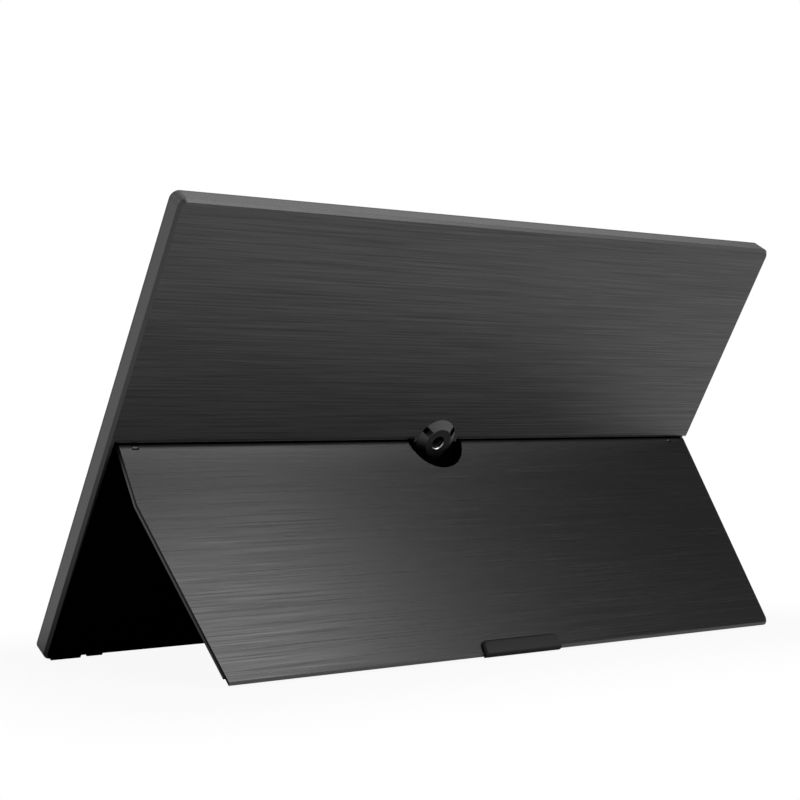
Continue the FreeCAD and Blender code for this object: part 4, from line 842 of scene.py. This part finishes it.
@dataclass
class FoldingStand:
    """The stand: brushed plate, inner frame, core, grip and hinge parts.

    Attributes:
        lip_top: height below which the plate's bevel is the lower one, lighter as painted light.
        side_reach: distance from the middle beyond which the frame's sides lie.
        grip_radius: rounding of the grip's edges.
    """

    lip_top: float = 5.0
    side_reach: float = 150.0
    grip_radius: float = 0.4

    def plate_finish(self, centre: Vector, normal: Vector) -> int:
        """Tells the plate's brushed face, its bevels and its inner face apart: the side bevels are dark and
        the inner face black, as painted shade, and the lower bevel lighter, as painted light.
        """
        if normal.z < -FLAT:
            return 0
        if normal.z > FLAT:
            return 2
        if abs(normal.x) > 0.4:
            return 3
        return 4 if centre.y < self.lip_top else 1

    def frame_finish(self, centre: Vector, normal: Vector) -> int:
        """Tells the frame's outer edges and its inner faces apart; the inner faces are black, as painted
        shade.
        """
        return 0 if abs(normal.z) < 0.5 and abs(centre.x) > self.side_reach else 1

    def build(self) -> None:
        """Dresses the stand and builds its grip."""
        dress_faces("stand_plate", STAND, (STAND_FACE, STAND_EDGE, RECESS_BLACK_AND_SHADE, STAND_BEVEL_SHADE, STAND_LIP_LIT),
                    self.plate_finish)
        dress_faces("stand_frame", STAND, (STAND_EDGE, RECESS_BLACK_AND_SHADE), self.frame_finish)
        dress("stand_core", STEEL)
        softened("soft_grip", "stand_grip", Body.STAND, RUBBER, self.grip_radius)
        for node in ("hinge_pin_left", "hinge_pin_right", "hinge_washers", "hinge_bracket_left",
                     "hinge_bracket_right"):
            dress(node, DARK_STEEL)


@dataclass
class DisplayStack:
    """The display, from the glass to the foam pads behind it.

    Attributes:
        finishes: the finish of each sheet.
    """

    finishes: dict[str, Finish] = field(default_factory=lambda: {
        "lcd_cell": SCREEN, "panel_tape": TAPE, "diffuser_films": WHITE, "light_guide": CLEAR,
        "led_bar": LAMPS, "reflector_sheet": WHITE, "panel_tray": TRAY, "panel_pads": FOAM,
        "panel_driver_board": GREEN, "panel_film_leads": AMBER, "display_cable": RIBBON,
        "cable_connectors": SOCKET,
    })

    def build(self) -> None:
        """Dresses every sheet."""
        for node, finish in self.finishes.items():
            dress(node, finish)


@dataclass
class Electronics:
    """Main board, data socket, buttons and their switches.

    Attributes:
        contacts: contacts on each side of the socket's tongue.
        contact_pitch: distance between the contacts.
        contact_size: length, width and thickness of a contact.
        contact_inset: distance from the tongue's outer end to the middle of a contact.
        contact_level: distance of the contacts from the tongue's middle.
        button_radius: rounding of the buttons' edges.
        screw: the board's screws.
    """

    contacts: int = 12
    contact_pitch: float = 0.5
    contact_size: tuple[float, float, float] = (3.0, 0.26, 0.06)
    contact_inset: float = 1.7
    contact_level: float = 0.36
    button_radius: float = 0.35
    screw: Screw = Screw(1.6, 0.7, 0.7, 0.4, 0.4, STEEL, inwards=True)

    def build(self) -> None:
        """Dresses the board, and builds the contacts, the buttons and the board's screws."""
        dress("main_board", GREEN)
        dress("board_chips", CHIP)
        dress("shield_can", BRIGHT)
        dress("data_socket_shell", BRIGHT)
        dress("data_socket_tongue", SOCKET)
        dress("button_switches", CHIP)
        self.build_contacts()
        self.screw.build("board_screws")
        for node, body in (("power_button", Body.POWER), ("menu_button", Body.MENU), ("up_button", Body.UP),
                           ("down_button", Body.DOWN)):
            softened("rounded_" + node, node, body, BUTTON, self.button_radius)

    def build_contacts(self) -> None:
        """Lays a row of contacts on both faces of the socket's tongue."""
        low, high = solid_boxes("data_socket_tongue", PANEL)[0]
        middle = (low + high) / 2
        places = [Vector((low.x + self.contact_inset, middle.y, middle.z + side * self.contact_level))
                  for side in (-1.0, 1.0)]
        length, width, thickness = self.contact_size
        sizes = {"Count": self.contacts, "Pitch": self.contact_pitch, "Length": length, "Width": width,
                 "Thickness": thickness}
        mesh = contact_tree(GOLD).run("tongue_contacts", places, sizes, PANEL.matrix())
        add_piece("tongue_contacts", mesh, Body.MONITOR)


@dataclass(frozen=True)
class Softbox:
    """A square studio lamp aimed at the object.

    Attributes:
        name: its name.
        place: its place, in metres.
        edge: its edge, in metres.
        power: its power, in watts.
    """

    name: str
    place: tuple[float, float, float]
    edge: float
    power: float

    def build(self) -> None:
        """Adds the lamp."""
        data = bpy.data.lights.new(self.name, "AREA")
        data.shape = "SQUARE"
        data.size = self.edge
        data.energy = self.power
        lamp = bpy.data.objects.new(self.name, data)
        lamp.location = self.place
        lamp.rotation_euler = (LAMP_AIM - Vector(self.place)).to_track_quat("-Z", "Y").to_euler()
        bpy.context.scene.collection.objects.link(lamp)


@dataclass
class Studio:
    """White floor and backdrop, soft lamps, dim room and the camera.

    Attributes:
        softboxes: the lamps.
        room: brightness of the dim room.
        eye: the camera's place, in metres.
        right: the camera's right-hand direction.
        forward: the camera's viewing direction.
        lens: focal length for a sensor 36 mm wide.
        footprint: half the object's width and depth on the floor, in metres.
        shade_width: width of the floor's shade round it, in metres.
        shade: brightness of the floor beside the object.
        paper: how much light the paper throws back.
        floor_radius: radius of the floor, in metres.
        floor_level: height of the floor, in metres.
    """

    softboxes: tuple[Softbox, ...] = (
        Softbox("key_softbox", (-1.264, 2.851, 1.904), 2.68, 108.0),
        Softbox("overhead_softbox", (0.0, 0.1, 1.6), 1.2, 9.0),
        Softbox("side_softbox", (1.2, -0.2, 0.9), 0.9, 3.0),
    )
    room: float = 0.05
    eye: tuple[float, float, float] = (0.55418899, 0.66429501, 0.1121831)
    right: tuple[float, float, float] = (-0.77894844, 0.62708686, 0.00117992)
    forward: tuple[float, float, float] = (-0.62707106, -0.77893987, 0.00587917)
    lens: float = 80.12
    footprint: tuple[float, float] = (0.18, 0.062)
    shade_width: float = 0.13
    shade: float = 0.93
    paper: float = 0.42
    floor_radius: float = 8.2
    floor_level: float = -0.0005

    def build(self) -> None:
        """Sets up the stage, the light and the camera."""
        self.build_stage()
        self.build_room()
        for softbox in self.softboxes:
            softbox.build()
        self.build_camera()

    def white(self, name: str, shade: bool) -> bpy.types.Material:
        """White paper that the camera and mirrors see at full brightness.

        Args:
            name: the material's name.
            shade: whether the paper keeps a soft painted shade round the object, where the lit paper shows
                through.

        Returns:
            The material.
        """
        sheet = ShaderSheet(name)
        paper = sheet.add("BsdfDiffuse", {"Color": grey(self.paper)}).outputs[0]
        lit = sheet.add("Emission", {"Color": grey(1.0), "Strength": 1.0}).outputs[0]
        path = sheet.add("LightPath").outputs
        mirrored = sheet.math("MAXIMUM", path["Is Glossy Ray"], path["Is Transmission Ray"])
        seen = path["Is Camera Ray"]
        # Painted shade: over a fixed band round the object's footprint the white glow gives way to the lit
        # paper, fully for mirrors and in part for the camera.
        if shade:
            clear = self.clearance(sheet)
            mirrored = sheet.math("MULTIPLY", mirrored, clear)
            seen = sheet.math("MULTIPLY", seen, sheet.span(clear, self.shade, 1.0))
        share = sheet.math("MAXIMUM", seen, mirrored)
        mixed = sheet.add("MixShader", {0: share, 1: paper, 2: lit}).outputs[0]
        sheet.add("OutputMaterial", {"Surface": mixed})
        return sheet.material

    def clearance(self, sheet: ShaderSheet) -> NodeSocket:
        """How far the floor is clear of the object: 0 beside it, 1 from the shade's width on, a band of
        painted shade round the footprint.
        """
        axes = sheet.add("SeparateXYZ", {0: sheet.own()}).outputs
        squares = []
        for axis, half in zip(axes, self.footprint):
            beyond = sheet.math("MAXIMUM", sheet.math("SUBTRACT", sheet.math("ABSOLUTE", axis), half), 0.0)
            squares.append(sheet.math("MULTIPLY", beyond, beyond))
        distance = sheet.math("SQRT", sheet.math("ADD", squares[0], squares[1]))
        inputs = {"Value": distance, "From Min": 0.0, "From Max": self.shade_width}
        return sheet.add("MapRange", inputs, interpolation_type="SMOOTHSTEP").outputs["Result"]

    def wall(self, name: str, radius: float, height: float, start: float, end: float) -> None:
        """A curved backdrop round the object.

        Args:
            name: its name.
            radius: its radius, in metres.
            height: its height, in metres.
            start: its first direction, in degrees from +X.
            end: its last direction, in degrees.
        """
        steps = 64
        angles = [math.radians(start + (end - start) * step / steps) for step in range(steps + 1)]
        points = [(radius * math.cos(angle), radius * math.sin(angle), level)
                  for level in (2.0 * self.floor_level, height) for angle in angles]
        count = steps + 1
        faces = [(step + 1, step, step + count, step + count + 1) for step in range(steps)]
        mesh = bpy.data.meshes.new(name)
        mesh.from_pydata(points, [], faces)
        mesh.materials.append(self.white(name + "_paper", False))
        wall = bpy.data.objects.new(name, mesh)
        bpy.context.scene.collection.objects.link(wall)

    def build_stage(self) -> None:
        """Lays the floor and raises the backdrops."""
        steps = 96
        radius = self.floor_radius
        angles = [math.tau * step / steps for step in range(steps)]
        rim = [(radius * math.cos(angle), radius * math.sin(angle), self.floor_level) for angle in angles]
        mesh = bpy.data.meshes.new("floor")
        mesh.from_pydata(rim, [], [tuple(range(steps))])
        mesh.materials.append(self.white("floor_paper", True))
        floor = bpy.data.objects.new("floor", mesh)
        bpy.context.scene.collection.objects.link(floor)
        self.wall("backdrop", radius=1.7, height=3.2, start=-158.0, end=-12.0)
        self.wall("far_backdrop", radius=8.0, height=3.0, start=0.0, end=360.0)

    def build_room(self) -> None:
        """Makes the room above the stage dim."""
        world = bpy.data.worlds.new("room")
        world.use_nodes = True
        inputs = world.node_tree.nodes["Background"].inputs
        inputs["Color"].default_value = grey(1.0)
        inputs["Strength"].default_value = self.room
        bpy.context.scene.world = world

    def build_camera(self) -> None:
        """Puts the camera at the photograph's point of view."""
        data = bpy.data.cameras.new("camera")
        data.lens = self.lens
        data.sensor_width = 36.0
        data.clip_end = 100.0
        camera = bpy.data.objects.new("camera", data)
        right = Vector(self.right).normalized()
        back = -Vector(self.forward).normalized()
        up = back.cross(right)
        camera.matrix_world = Matrix.Translation(self.eye) @ Matrix((right, up, back)).transposed().to_4x4()
        bpy.context.scene.collection.objects.link(camera)
        bpy.context.scene.camera = camera


def main() -> None:
    """Builds every sub-assembly in order."""
    logging.basicConfig(level=logging.INFO, format="%(name)s %(message)s")
    bpy.context.scene.view_settings.view_transform = "Standard"
    for part in (Studio(), Housing(), TripodSocket(), FoldingStand(), DisplayStack(), Electronics()):
        part.build()


if __name__ == "__main__":
    main()
